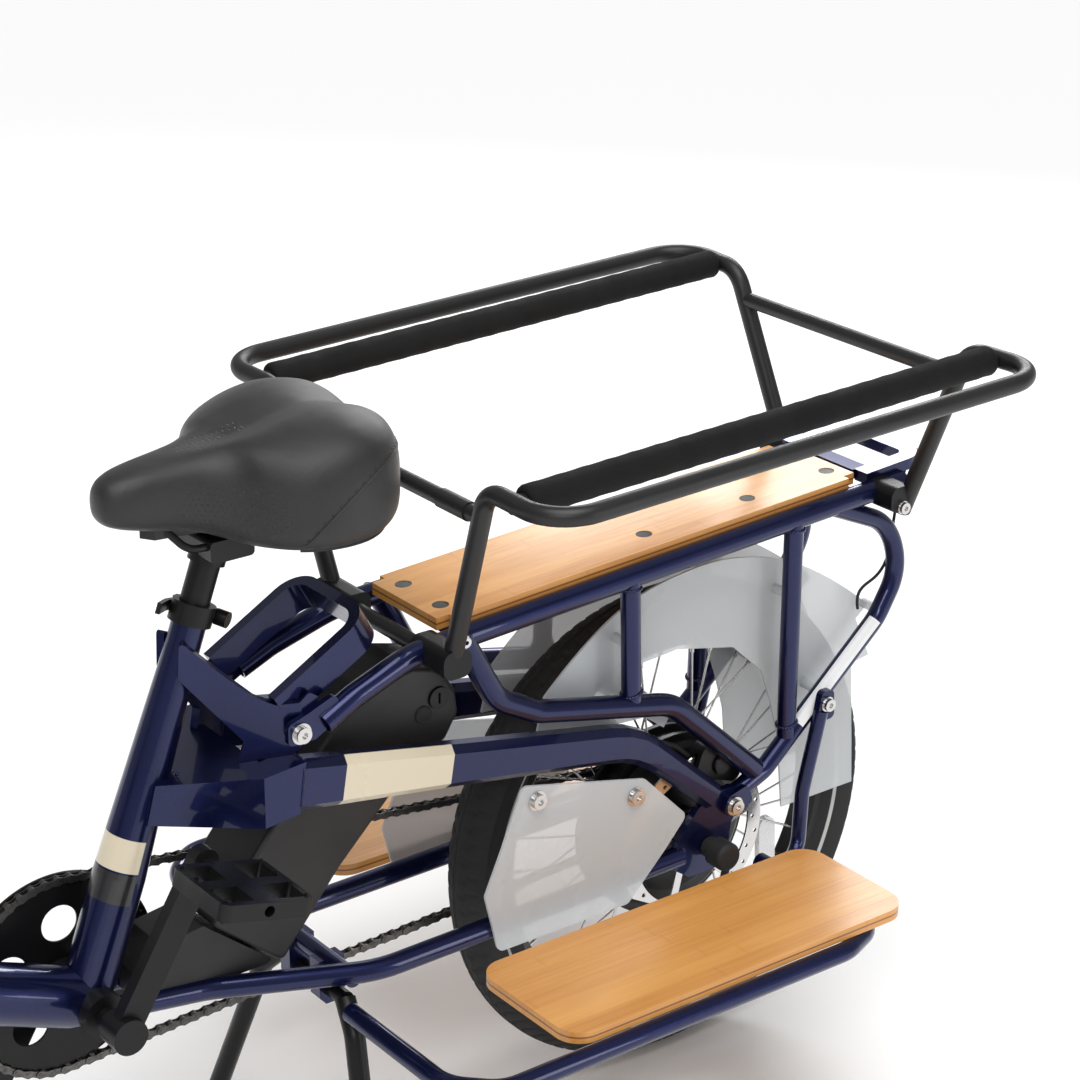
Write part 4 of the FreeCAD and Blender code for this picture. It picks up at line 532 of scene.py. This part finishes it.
def tyre_finish(name, axle):
    """Tyre rubber with a pale reflective stripe round each sidewall."""
    finish = Finish(name, colours().rubber, 0.0, 0.72)
    tree = finish.tree
    _, axes = object_axes(tree)
    x = math_node(tree, "SUBTRACT", axes["X"], axle.x)
    z = math_node(tree, "SUBTRACT", axes["Z"], axle.z)
    radius = distance_node(tree, x, z)
    half = sizes().tyre_stripe_width / 2
    middle = sizes().tyre_stripe_radius
    stripe = between(tree, radius, middle - half, middle + half, 0.0003)
    finish.paint_mask(stripe, (0.50, 0.50, 0.48))
    finish.grain(800.0, 0.0002, 0.6)
    return finish


FINISH = {}


def finish_for(slot_name):
    """The material of a material slot, made once."""
    makers = {
        "navy_paint": navy_finish, "black_paint": black_coat_finish, "black_alloy": black_alloy_finish,
        "silver_steel": steel_finish, "black_steel": black_alloy_finish, "matt_plastic": plastic_finish,
        "clear_plastic": frosted_finish, "red_lens": lens_finish, "vinyl": vinyl_finish,
        "chain_steel": chain_finish, "black_rubber": rubber_finish, "foam": rubber_finish,
        "tyre_rubber": rubber_finish,
    }
    if slot_name not in FINISH:
        FINISH[slot_name] = makers[slot_name]().material
    return FINISH[slot_name]


# ---------------------------------------------------------------- mesh helpers
def new_object(name, mesh, body, material=None):
    """Links a mesh or curve as a named piece that rides on a CAD body."""
    piece = bpy.data.objects.new(name, mesh)
    bpy.context.scene.collection.objects.link(piece)
    if material is not None:
        mesh.materials.append(material)
    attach(piece, body)
    return piece


def mesh_from(name, verts, faces, smooth=True):
    """A mesh of vertices and faces, shaded smooth or flat."""
    mesh = bpy.data.meshes.new(name)
    mesh.from_pydata([tuple(v) for v in verts], [], faces)
    mesh.validate()
    for face in mesh.polygons:
        face.use_smooth = smooth
    return mesh


def basis(way):
    """Two unit vectors square to a direction."""
    way = Vector(way).normalized()
    side = way.cross(Vector((0, 0, 1)))
    if side.length < 1e-3:
        side = way.cross(Vector((1, 0, 0)))
    side.normalize()
    return side, side.cross(way).normalized()


def turned_faces(steps, count):
    """Faces between the rings of a turned form that is open across its outline."""
    faces = []
    for step in range(steps):
        after = (step + 1) % steps
        for index in range(count - 1):
            faces.append((step * count + index, step * count + index + 1,
                          after * count + index + 1, after * count + index))
    return faces


def plate_from(outline, shift):
    """A flat plate: an outline moved both ways by a shift and closed."""
    count = len(outline)
    verts = [p - shift for p in outline] + [p + shift for p in outline]
    faces = [tuple(range(count)), tuple(range(2 * count - 1, count - 1, -1))]
    for index in range(count):
        after = (index + 1) % count
        faces.append((index, count + index, count + after, after))
    return verts, faces


def arc_points(centre, first, second, radius, start, sweep, steps):
    """Points of an arc in the plane of two directions, angles in degrees."""
    points = []
    for step in range(steps + 1):
        angle = math.radians(start + sweep * step / steps)
        points.append(centre + first * math.cos(angle) * radius + second * math.sin(angle) * radius)
    return points


def turned_piece(profile, centre, way, steps=48):
    """Vertices and faces of a closed outline of (radius, along) turned about an axis."""
    side, up = basis(way)
    way = Vector(way).normalized()
    verts = []
    for step in range(steps):
        angle = 2 * math.pi * step / steps
        out = side * math.cos(angle) + up * math.sin(angle)
        for radius, along in profile:
            verts.append(centre + out * radius + way * along)
    return verts, turned_faces(steps, len(profile))


def joined(parts):
    """Several lists of vertices and faces as one."""
    verts, faces = [], []
    for more_verts, more_faces in parts:
        start = len(verts)
        verts.extend(more_verts)
        faces.extend(tuple(start + index for index in face) for face in more_faces)
    return verts, faces


def fix_normals(mesh):
    work = bmesh.new()
    work.from_mesh(mesh)
    bmesh.ops.remove_doubles(work, verts=work.verts, dist=1e-6)
    bmesh.ops.recalc_face_normals(work, faces=work.faces)
    work.to_mesh(mesh)
    work.free()


def sharpen(mesh, degrees=38.0):
    mesh.set_sharp_from_angle(angle=math.radians(degrees))


def line_curve(name, points, radius, kind="POLY"):
    """A round line along points, straight between them or smoothed."""
    curve = bpy.data.curves.new(name, "CURVE")
    curve.dimensions = "3D"
    curve.bevel_depth = radius
    curve.bevel_resolution = 3
    spline = curve.splines.new(kind)
    spline.points.add(len(points) - 1)
    for point, place in zip(spline.points, points):
        point.co = (*place, 1.0)
    if kind == "NURBS":
        spline.order_u = 4
        spline.use_endpoint_u = True
        spline.resolution_u = 8
    return curve


# ---------------------------------------------------------------- operators
class FinishOperator(bpy.types.Operator):
    """Gives every CAD node its procedural finish"""
    bl_idname = "bicycle.finishes"
    bl_label = "Finishes"

    def execute(self, context):
        slots = {row["node"]: row["material_slot"] for row in frame["record"]["subparts"]}
        deck_low, deck_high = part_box("deck")
        board_low, board_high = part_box("foot_boards")
        middle = (deck_low.z + deck_high.z) / 2 + DECK_SLOPE * (deck_low.x + deck_high.x) / 2
        special = {
            "main_stays": stay_finish().material,
            "seat_tube": seat_tube_finish().material,
            "key_lock": finish_for("black_alloy"),
            "deck": bamboo_finish("bamboo_deck", middle, DECK_SLOPE).material,
            "foot_boards": bamboo_finish("bamboo_board", (board_low.z + board_high.z) / 2, 0.0).material,
        }
        for name, node in NODES.items():
            material = special.get(name) or finish_for(slots[name])
            node.data.materials.clear()
            node.data.materials.append(material)
        return {"FINISHED"}


def saddle_sections():
    """Sections from nose to tail: x, half width, top, bottom, in millimetres."""
    return [(630, 6, 756, 740), (624, 16, 765, 730), (612, 24, 771, 725), (590, 30, 775, 720),
            (562, 36, 777, 715), (538, 43, 779, 709), (517, 58, 781, 702), (500, 80, 784, 697),
            (478, 99, 789, 693), (450, 109, 796, 690), (422, 111, 800, 690), (397, 105, 798, 696),
            (378, 90, 793, 705), (366, 66, 785, 717), (359, 34, 774, 732)]


def smoothed_rows(rows, per):
    """Rows with a smooth curve of more rows passed through them."""
    fine = []
    for index in range(len(rows) - 1):
        p0 = rows[max(index - 1, 0)]
        p1, p2 = rows[index], rows[index + 1]
        p3 = rows[min(index + 2, len(rows) - 1)]
        for step in range(per):
            t = step / per
            fine.append(tuple(0.5 * (2 * b + (c - a) * t + (2 * a - 5 * b + 4 * c - d) * t * t
                                     + (3 * b - a - 3 * c + d) * t ** 3)
                              for a, b, c, d in zip(p0, p1, p2, p3)))
    fine.append(rows[-1])
    return fine


def saddle_mesh():
    """A closed saddle form: narrow rounded nose, broad wings, a shallow middle channel."""
    verts, faces = [], []
    around = 56
    fine = smoothed_rows(saddle_sections(), 4)
    for x, half, top, bottom in fine:
        broad = min(1.0, max(0.0, (half - 34.0) / 40.0))
        middle = bottom + (0.50 - 0.06 * broad) * (top - bottom)
        for step in range(around):
            angle = 2 * math.pi * step / around
            c, s = math.cos(angle), math.sin(angle)
            y = half * math.copysign(abs(c) ** (0.74 - 0.24 * broad), c)
            if s >= 0:
                z = middle + (top - middle) * s ** (0.72 - 0.12 * broad)
            else:
                z = middle - (middle - bottom) * (-s) ** (0.62 - 0.22 * broad)
            if s > 0:
                z -= broad * 5.5 * math.exp(-(y / 15.0) ** 2) * s
                z += broad * 3.0 * math.exp(-((abs(y) - 52.0) / 24.0) ** 2) * s
                z += broad * 5.0 * (1 - s) * max(0.0, (430 - x) / 70.0) * 0.3
            verts.append(off(x, y, z))
    count = len(fine)
    for row in range(count - 1):
        for step in range(around):
            after = (step + 1) % around
            faces.append((row * around + step, row * around + after,
                          (row + 1) * around + after, (row + 1) * around + step))
    for row, turn in ((0, 1), (count - 1, -1)):
        ring = [row * around + step for step in range(around)]
        faces.append(tuple(ring[::-turn]))
    mesh = mesh_from("saddle_cushion", verts, faces)
    fix_normals(mesh)
    return mesh


def fill_with_cloth(piece, voxel, cap):
    """Fills a closed skin by cloth pressure and keeps each point within cap of where it began."""
    scene = bpy.context.scene
    bpy.context.view_layer.objects.active = piece
    remesh = piece.modifiers.new("remesh", "REMESH")
    remesh.mode = "VOXEL"
    remesh.voxel_size = voxel
    bpy.ops.object.modifier_apply(modifier=remesh.name)
    before = [v.co.copy() for v in piece.data.vertices]
    cloth = piece.modifiers.new("cloth", "CLOTH")
    settings = cloth.settings
    settings.quality = 5
    settings.mass = 0.3
    settings.tension_stiffness = 25
    settings.compression_stiffness = 25
    settings.shear_stiffness = 15
    settings.bending_stiffness = 3
    settings.use_pressure = True
    settings.uniform_pressure_force = 4.0
    settings.effector_weights.gravity = 0.0
    cloth.collision_settings.use_self_collision = False
    cloth.point_cache.frame_start = 1
    cloth.point_cache.frame_end = CLOTH_FRAMES
    for number in range(1, CLOTH_FRAMES + 1):
        scene.frame_set(number)
    shape = piece.evaluated_get(bpy.context.evaluated_depsgraph_get())
    moved = [v.co.copy() for v in shape.data.vertices]
    piece.modifiers.remove(cloth)
    scene.frame_set(1)
    for vertex, start, end in zip(piece.data.vertices, before, moved):
        step = end - start
        if step.length > cap:
            step = step.normalized() * cap
        vertex.co = start + step * 0.5


class SaddleOperator(bpy.types.Operator):
    """Builds the saddle's cushion, its seam, its stitches and its piping"""
    bl_idname = "bicycle.saddle"
    bl_label = "Saddle"

    def execute(self, context):
        mesh = saddle_mesh()
        cushion = bpy.data.objects.new("saddle_cushion", mesh)
        context.scene.collection.objects.link(cushion)
        if sizes().simulate:
            fill_with_cloth(cushion, sizes().cushion_voxel, sizes().cushion_swell)
        smooth = cushion.modifiers.new("smooth", "SMOOTH")
        smooth.factor = 0.5
        smooth.iterations = 3
        divide = cushion.modifiers.new("divide", "SUBSURF")
        divide.levels = 1
        divide.render_levels = 1
        for face in cushion.data.polygons:
            face.use_smooth = True
        cushion.data.materials.append(finish_for("vinyl"))
        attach(cushion, "saddle")
        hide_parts("saddle")
        context.view_layer.update()
        graph = context.evaluated_depsgraph_get()
        tree = BVHTree.FromObject(cushion, graph)
        centre = off(440, 0, 0)
        seam, stitches, piping = [], [], []
        for step in range(-60, 61):
            phi = math.radians(step * 1.9)
            way = Vector((-math.cos(phi), math.sin(phi), 0.0))
            share = min(1.0, max(0.0, (abs(math.degrees(phi)) - 62.0) / 50.0))
            height = 772.0 - 66.0 * share ** 1.6
            for points, level, lift in ((seam, height, 0.0002), (stitches, height + 3.2, 0.0002),
                                        (piping, 703.0 - 6.0 * share, 0.0004)):
                start = Vector((centre.x, 0, level * MM)) + way * 0.4
                hit = tree.ray_cast(start, -way)[0]
                if hit is not None:
                    points.append(hit + way * lift)
        vinyl = finish_for("vinyl")
        new_object("saddle_seam", line_curve("saddle_seam", seam, 0.0009), "saddle", vinyl)
        new_object("saddle_piping", line_curve("saddle_piping", piping, 0.0016), "saddle",
                   finish_for("matt_plastic"))
        parts = [stitch(first, second) for first, second in zip(stitches[0:-1:2], stitches[1::2])]
        mesh = mesh_from("saddle_stitches", *joined(parts))
        new_object("saddle_stitches", mesh, "saddle", vinyl)
        return {"FINISHED"}


def stitch(first, second):
    """A short thread between two points."""
    way = second - first
    middle = (first + second) / 2
    length = way.length * 0.7
    profile = [(0.0, -length / 2), (0.0005, -length * 0.4), (0.0006, 0.0), (0.0005, length * 0.4),
               (0.0, length / 2)]
    return turned_piece(profile, middle, way, 8)


class GripOperator(bpy.types.Operator):
    """Builds the foam grips on the passenger rails"""
    bl_idname = "bicycle.grips"
    bl_label = "Foam grips"

    def execute(self, context):
        points = [v.co.copy() for v in NODES["foam_grips"].data.vertices]
        foam = foam_finish().material
        for side, name in ((1, "foam_grip_left"), (-1, "foam_grip_right")):
            own = [p for p in points if p.y * side > 0]
            front_x = max(p.x for p in own)
            rear_x = min(p.x for p in own)
            front = [p for p in own if p.x > front_x - 0.01]
            rear = [p for p in own if p.x < rear_x + 0.01]
            front = sum(front, Vector()) / len(front)
            rear = sum(rear, Vector()) / len(rear)
            middle = (front + rear) / 2
            way = front - rear
            half = way.length / 2
            radius = max(abs(p.y * side - middle.y * side) for p in own)
            inner = radius * 0.56
            profile = [(inner, -half), (radius - 0.004, -half), (radius - 0.0012, -half + 0.0012),
                       (radius, -half + 0.004)]
            steps = 60
            for step in range(1, steps):
                along = -half + 0.004 + (2 * half - 0.008) * step / steps
                profile.append((radius - 0.00025 * (1 + math.sin(step * 2.1)), along))
            profile += [(radius, half - 0.004), (radius - 0.0012, half - 0.0012), (radius - 0.004, half),
                        (inner, half)]
            verts, faces = turned_piece(profile, middle, way, 56)
            mesh = mesh_from(name, verts, faces)
            fix_normals(mesh)
            sharpen(mesh, 50.0)
            grip = new_object(name, mesh, "frame", foam)
            if side > 0:
                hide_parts("foam_grips")
        return {"FINISHED"}


def foam_finish():
    """Closed-cell foam: matt, with fine open pores."""
    finish = Finish("closed_cell_foam", (0.007, 0.007, 0.0072), 0.0, 0.85, Specular_IOR_Level=0.25)
    finish.grain(1300.0, 0.00035, 1.0)
    finish.wear(0.70, 0.88, 24.0)
    return finish


class TyreOperator(bpy.types.Operator):
    """Builds both tyres with their tread, in place of the plain ones"""
    bl_idname = "bicycle.tyres"
    bl_label = "Tyres"

    def execute(self, context):
        for node, body, axle in (("rear_tyre", "rear_wheel", REAR_AXLE),
                                 ("front_tyre", "front_wheel", FRONT_AXLE)):
            low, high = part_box(node)
            outer = (high.z - low.z) / 2
            half = (high.y - low.y) / 2
            bead = outer - 0.056
            section = [(bead, 0.0125), (bead + 0.006, 0.0165), (bead + 0.014, 0.0215), (bead + 0.018, 0.0242),
                       (bead + 0.0195, 0.0247), (bead + 0.024, 0.0262), (bead + 0.034, half - 0.0003),
                       (bead + 0.040, half), (outer - 0.0125, half - 0.0025), (outer - 0.0100, half - 0.0045),
                       (outer - 0.0085, half - 0.0070), (outer - 0.0062, half - 0.0105),
                       (outer - 0.0042, 0.0150),
                       (outer - 0.0026, 0.0115), (outer - 0.0022, 0.0095), (outer - 0.0012, 0.0085),
                       (outer - 0.0006, 0.0045), (outer - 0.0004, 0.0038), (outer - 0.0014, 0.0030),
                       (outer - 0.0014, 0.0)]
            section = section + [(r, -y) for r, y in reversed(section[:-1])]
            lugs = sizes().tread_lugs
            steps = lugs * 8
            verts = []
            for step in range(steps):
                angle = 2 * math.pi * step / steps
                out = Vector((math.cos(angle), 0, math.sin(angle)))
                for radius, y in section:
                    cut = 0.0
                    if radius > outer - 0.0115 and abs(y) > 0.0046:
                        skew = 2 if abs(y) < 0.012 else 0
                        if (step + skew + (4 if y < 0 else 0)) % 8 in (0, 1):
                            cut = 0.0014
                    verts.append(axle + out * (radius - cut) + Vector((0, y, 0)))
            mesh = mesh_from(node + "_tread", verts, turned_faces(steps, len(section)))
            fix_normals(mesh)
            sharpen(mesh, 32.0)
            rubber = tyre_finish(node + "_rubber", axle).material
            piece = new_object(node + "_tread", mesh, body, rubber)
            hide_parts(node)
        return {"FINISHED"}


class ChainOperator(bpy.types.Operator):
    """Builds the chain link by link round the chainring and the rear sprocket"""
    bl_idname = "bicycle.chain"
    bl_label = "Chain"

    def execute(self, context):
        low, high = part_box("chain")
        y = (low.y + high.y) / 2
        big = high.x - CRANK_AXLE.x - CHAIN_PLATE + 0.0007
        small = REAR_AXLE.x - low.x - CHAIN_PLATE + 0.0007
        span = CRANK_AXLE - REAR_AXLE
        reach = span.length
        ahead = span.normalized()
        up = Vector((-ahead.z, 0, ahead.x))
        lean = math.asin((big - small) / reach)
        top = up * math.cos(lean) - ahead * math.sin(lean)
        low_way = -up * math.cos(lean) - ahead * math.sin(lean)
        path = [REAR_AXLE + top * small, CRANK_AXLE + top * big]
        turn = math.pi + 2 * lean
        steps = 60
        for step in range(1, steps):
            angle = -turn * step / steps
            path.append(CRANK_AXLE + Matrix.Rotation(-angle, 3, "Y") @ (top * big))
        path.append(CRANK_AXLE + low_way * big)
        path.append(REAR_AXLE + low_way * small)
        turn = math.pi - 2 * lean
        for step in range(1, steps):
            angle = turn * step / steps
            path.append(REAR_AXLE + Matrix.Rotation(angle, 3, "Y") @ (low_way * small))
        path.append(path[0])
        lengths = [0.0]
        for a, b in zip(path, path[1:]):
            lengths.append(lengths[-1] + (b - a).length)
        links = int(round(lengths[-1] / sizes().link_pitch / 2)) * 2
        pins = []
        index = 0
        for link in range(links):
            wanted = lengths[-1] * link / links
            while lengths[index + 1] < wanted:
                index += 1
            share = (wanted - lengths[index]) / (lengths[index + 1] - lengths[index])
            pins.append(path[index].lerp(path[index + 1], share))
        parts = []
        side = Vector((0, 1, 0))
        for link in range(links):
            first, second = pins[link], pins[(link + 1) % links]
            offset = 0.0034 if link % 2 else 0.0023
            for sign in (1, -1):
                base = Vector((0, y + sign * offset, 0))
                parts.append(link_plate(first + base, second + base, 0.0041, 0.0009))
            parts.append(turned_piece([(0.0, -0.0042), (0.0018, -0.0042), (0.0018, -0.002), (0.0038, -0.0016),
                                       (0.0038, 0.0016), (0.0018, 0.002), (0.0018, 0.0042), (0.0, 0.0042)],
                                      first + Vector((0, y, 0)), side, 10))
        mesh = mesh_from("chain_links", *joined(parts))
        fix_normals(mesh)
        sharpen(mesh, 40.0)
        piece = new_object("chain_links", mesh, "frame", finish_for("chain_steel"))
        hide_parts("chain")
        return {"FINISHED"}


def link_plate(first, second, radius, thick):
    """A waisted chain plate between two pins."""
    way = (second - first).normalized()
    up = Vector((-way.z, 0, way.x))
    middle = (first + second) / 2
    waist = up * radius * 0.68
    outline = arc_points(first, way, up, radius, 60, 240, 6) + [middle - waist]
    outline += arc_points(second, way, up, radius, -120, 240, 6) + [middle + waist]
    return plate_from(outline, Vector((0, thick / 2, 0)))


class TrimOperator(bpy.types.Operator):
    """Builds weld beads, tapes, caps, the wheel reflector and the light's lead"""
    bl_idname = "bicycle.trims"
    bl_label = "Small trims"

    def execute(self, context):
        rubber = finish_for("black_rubber")
        build_welds()
        build_tapes()
        build_wheel_reflector()
        centre = off(321, 0, 482)
        centre.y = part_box("battery_case")[1].y
        profile = [(0.0, 0.0022), (0.0052, 0.0024), (0.0068, 0.0016), (0.0074, 0.0022),
                   (0.0088, 0.0016), (0.0092, -0.001)]
        mesh = mesh_from("charge_cap", *turned_piece(profile, centre, Vector((0, 1, 0)), 40))
        fix_normals(mesh)
        new_object("charge_cap", mesh, "frame", rubber)
        points = [off(-206, 60, 462), off(-203, 60, 474), off(-208, 60, 486), off(-226, 61, 490),
                  off(-240, 62, 503), off(-246, 62, 524), off(-252, 58, 556), off(-268, 50, 590),
                  off(-282, 44, 603)]
        curve = line_curve("light_lead", points, 0.0016, "NURBS")
        new_object("light_lead", curve, "frame", rubber)
        cap = turned_piece([(0.0, 0.0035), (0.0095, 0.0035), (0.0108, 0.0022), (0.0110, -0.004)],
                           piston_place(), Vector((0, 1, 0)), 36)
        mesh = mesh_from("caliper_cap", *cap)
        fix_normals(mesh)
        sharpen(mesh, 40.0)
        new_object("caliper_cap", mesh, "frame", finish_for("black_alloy"))
        return {"FINISHED"}


def build_welds():
    """Weld beads where the rack's struts end and where the yoke meets the stays and the seat tube."""
    parts = []
    for x_top, x_foot, z_foot in ((101, 100, 456), (-106, -104, 366)):
        for side in (1, -1):
            top = off(x_top, side * RAIL_Y, DECK_BASE_Z - DECK_SLOPE * x_top - STRUT_DROP)
            foot = off(x_foot, side * SIDE_Y, z_foot)
            for place, tilt in ((top, 0.0), (foot, 0.28)):
                parts.append(weld_bead(place, Vector((tilt, 0, 1)), 0.0102, 0.0017))
    for side in (1, -1):
        ring = [off(x, side * y, z) for x, y, z in (
            (478, 65, 498.5), (478, 79, 498.5), (480, 84.3, 491), (484.5, 84.3, 457),
            (486, 79, 449.7), (486, 65, 449.7))]
        parts.extend(weld_line(ring, 0.0016))
        foot = [off(x, side * y, z) for x, y, z in (
            (571, 19, 487.5), (572.5, 21.5, 484), (577, 23.2, 468), (581, 23.2, 452),
            (580, 20, 448.5))]
        parts.extend(weld_line(foot, 0.0018))
    mesh = mesh_from("weld_beads", *joined(parts))
    fix_normals(mesh)
    new_object("weld_beads", mesh, "frame", finish_for("navy_paint"))


def build_tapes():
    """Pale reflective tape on the upper outer faces of the tail tubes."""
    pale = Finish("reflective_tape", (0.78, 0.79, 0.80), 0.0, 0.32)
    pale.wear(0.24, 0.42, 30.0, 1600.0, 0.00002)
    tape = []
    for side in (1, -1):
        line = [off(x, side * SIDE_Y, z) for x, z in (
            (-219, 449.5), (-190, 424), (-150, 388.7), (-118, 360.3))]
        tape.append(tape_strip(line, Vector((0.46, 0.70 * side, 0.53)), 0.0099, 40.0))
    mesh = mesh_from("reflective_tapes", *joined(tape))
    fix_normals(mesh)
    new_object("reflective_tapes", mesh, "frame", pale.material)


def build_wheel_reflector():
    """A clear bar with round ends and small cells, held in the rear spokes."""
    clear = Finish("clear_reflector", (0.86, 0.87, 0.88), 0.0, 0.12, Coat_Weight=1.0, Alpha=0.82)
    tree = clear.tree
    vector, _ = object_axes(tree)
    cells = tree.nodes.new("ShaderNodeTexVoronoi")
    cells.inputs["Scale"].default_value = 420.0
    tree.links.new(vector, cells.inputs["Vector"])
    clear.bump(cells.outputs["Distance"], 0.0008)
    bar = rounded_bar(off(-141, 5, 209), off(-143.5, 5, 157), Vector((0, 1, 0)), 0.011, 0.0035)
    mesh = mesh_from("wheel_reflector", *bar)
    fix_normals(mesh)
    sharpen(mesh, 40.0)
    new_object("wheel_reflector", mesh, "rear_wheel", clear.material)


def piston_place():
    """Middle of the rear caliper's outer face."""
    low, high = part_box("rear_caliper")
    middle = (low + high) / 2
    middle.y = high.y + 0.0002
    return middle


def weld_bead(centre, way, radius, thick):
    """A rippled ring of weld round a tube's end."""
    side, up = basis(way)
    way = way.normalized()
    verts, faces = [], []
    rings, around = 96, 8
    for ring in range(rings):
        angle = 2 * math.pi * ring / rings
        out = side * math.cos(angle) + up * math.sin(angle)
        bump = 1.0 + 0.16 * math.sin(ring * 2 * math.pi / 4.0)
        for step in range(around):
            turn = 2 * math.pi * step / around
            verts.append(centre + out * (radius + thick * bump * math.cos(turn))
                         + way * thick * bump * math.sin(turn))
    for ring in range(rings):
        after = (ring + 1) % rings
        for step in range(around):
            next_step = (step + 1) % around
            faces.append((ring * around + step, ring * around + next_step,
                          after * around + next_step, after * around + step))
    return verts, faces


def weld_line(points, radius):
    """Overlapping beads of weld along a line of points."""
    parts = []
    profile = [(0.0, -radius), (radius * 0.75, -radius * 0.7), (radius, 0.0),
               (radius * 0.75, radius * 0.7), (0.0, radius)]
    for first, second in zip(points, points[1:]):
        count = max(2, int((second - first).length / (radius * 1.1)))
        way = (second - first).normalized()
        for step in range(count):
            parts.append(turned_piece(profile, first.lerp(second, step / count), way, 10))
    return parts


def tape_strip(line, outward, radius, half_angle):
    """A thin strip laid along the outer face of a round tube."""
    verts, faces = [], []
    steps = 8
    for index, point in enumerate(line):
        before = line[max(index - 1, 0)]
        after = line[min(index + 1, len(line) - 1)]
        way = (after - before).normalized()
        across = way.cross(outward).normalized()
        for step in range(steps + 1):
            angle = math.radians(-half_angle + 2 * half_angle * step / steps)
            out = outward * math.cos(angle) + across * math.sin(angle)
            verts.append(point + out * (radius + 0.0002))
    for index in range(len(line) - 1):
        for step in range(steps):
            a = index * (steps + 1) + step
            faces.append((a, a + 1, a + steps + 2, a + steps + 1))
    return verts, faces


def rounded_bar(first, second, way, half_wide, half_thick):
    """A flat bar with round ends between two points, thick along way."""
    along = (second - first).normalized()
    across = along.cross(way).normalized()
    outline = arc_points(first, along, across, half_wide, 90, 180, 12)
    outline += arc_points(second, along, across, half_wide, -90, 180, 12)
    return plate_from(outline, way.normalized() * half_thick)


def add_floor(scene):
    """A wide pale floor just under the wheels."""
    corners = [(x, y, -0.0004) for x, y in ((-12, -12), (12, -12), (12, 12), (-12, 12))]
    mesh = mesh_from("floor", corners, [(0, 1, 2, 3)], False)
    floor = bpy.data.objects.new("floor", mesh)
    scene.collection.objects.link(floor)
    pale = bpy.data.materials.new("pale_floor")
    pale.use_nodes = True
    shader = pale.node_tree.nodes["Principled BSDF"]
    shader.inputs["Base Color"].default_value = (0.93, 0.93, 0.93, 1)
    shader.inputs["Roughness"].default_value = 0.9
    mesh.materials.append(pale)


def add_lights(scene):
    """A white world, a broad soft sun and three long soft panels."""
    world = bpy.data.worlds.new("studio")
    scene.world = world
    world.use_nodes = True
    background = world.node_tree.nodes["Background"]
    background.inputs[0].default_value = (1, 1, 1, 1)
    background.inputs[1].default_value = 0.34
    sky = bpy.data.lights.new("sky", "SUN")
    sky.energy = 2.35
    sky.angle = math.radians(50.0)
    lamp = bpy.data.objects.new("sky", sky)
    lamp.rotation_euler = (math.radians(-16.0), math.radians(10.0), 0.0)
    scene.collection.objects.link(lamp)
    for name, place, target, size, power in (
            ("key", (1.9, 2.4, 2.4), (-0.3, 0, 0.55), (2.0, 0.5), 26.0),
            ("rim", (-2.8, -1.9, 2.0), (-0.4, 0, 0.55), (1.8, 0.5), 34.0),
            ("fill", (-1.8, 2.9, 1.0), (-0.4, 0, 0.45), (0.5, 1.5), 12.0)):
        data = bpy.data.lights.new(name, "AREA")
        data.shape = "RECTANGLE"
        data.size, data.size_y = size
        data.energy = power
        lamp = bpy.data.objects.new(name, data)
        lamp.location = place
        lamp.rotation_euler = (Vector(target) - Vector(place)).to_track_quat("-Z", "Y").to_euler()
        scene.collection.objects.link(lamp)


def add_camera(scene):
    """A long lens ahead of and above the bicycle's left side."""
    data = bpy.data.cameras.new("camera")
    data.sensor_width = 36.0
    data.lens = 92.47
    data.shift_x = 0.0483
    data.shift_y = 0.0194
    data.clip_start, data.clip_end = 0.05, 60.0
    camera = bpy.data.objects.new("camera", data)
    camera.location = off(1638.71, 1942.04, 1589.0)
    camera.rotation_euler = (math.radians(67.614), 0.0, math.radians(143.835))
    scene.collection.objects.link(camera)
    scene.camera = camera


class StageOperator(bpy.types.Operator):
    """Builds the pale floor, the soft studio lights and the camera"""
    bl_idname = "bicycle.stage"
    bl_label = "Stage"

    def execute(self, context):
        scene = context.scene
        scene.view_settings.view_transform = "Standard"
        add_floor(scene)
        add_lights(scene)
        add_camera(scene)
        return {"FINISHED"}


class BicyclePanel(bpy.types.Panel):
    """Sizes, colours and builders of the bicycle"""
    bl_idname = "VIEW3D_PT_bicycle"
    bl_label = "Cargo bicycle"
    bl_space_type = "VIEW_3D"
    bl_region_type = "UI"
    bl_category = "Bicycle"

    def draw(self, context):
        layout = self.layout
        for settings in (context.scene.bicycle_sizes, context.scene.bicycle_colours):
            for name in settings.__annotations__:
                layout.prop(settings, name)
        for operator in BUILDERS:
            layout.operator(operator.bl_idname)


BUILDERS = (FinishOperator, SaddleOperator, GripOperator, TyreOperator, ChainOperator, TrimOperator,
            StageOperator)
CLASSES = (BicycleSizes, BicycleColours, *BUILDERS, BicyclePanel)


def register():
    for item in CLASSES:
        bpy.utils.register_class(item)
    bpy.types.Scene.bicycle_sizes = PointerProperty(type=BicycleSizes)
    bpy.types.Scene.bicycle_colours = PointerProperty(type=BicycleColours)


def unregister():
    del bpy.types.Scene.bicycle_colours
    del bpy.types.Scene.bicycle_sizes
    for item in reversed(CLASSES):
        bpy.utils.unregister_class(item)


def main():
    register()
    bpy.ops.bicycle.finishes()
    bpy.ops.bicycle.saddle()
    bpy.ops.bicycle.grips()
    bpy.ops.bicycle.tyres()
    bpy.ops.bicycle.chain()
    bpy.ops.bicycle.trims()
    bpy.ops.bicycle.stage()


if __name__ == "__main__":
    main()
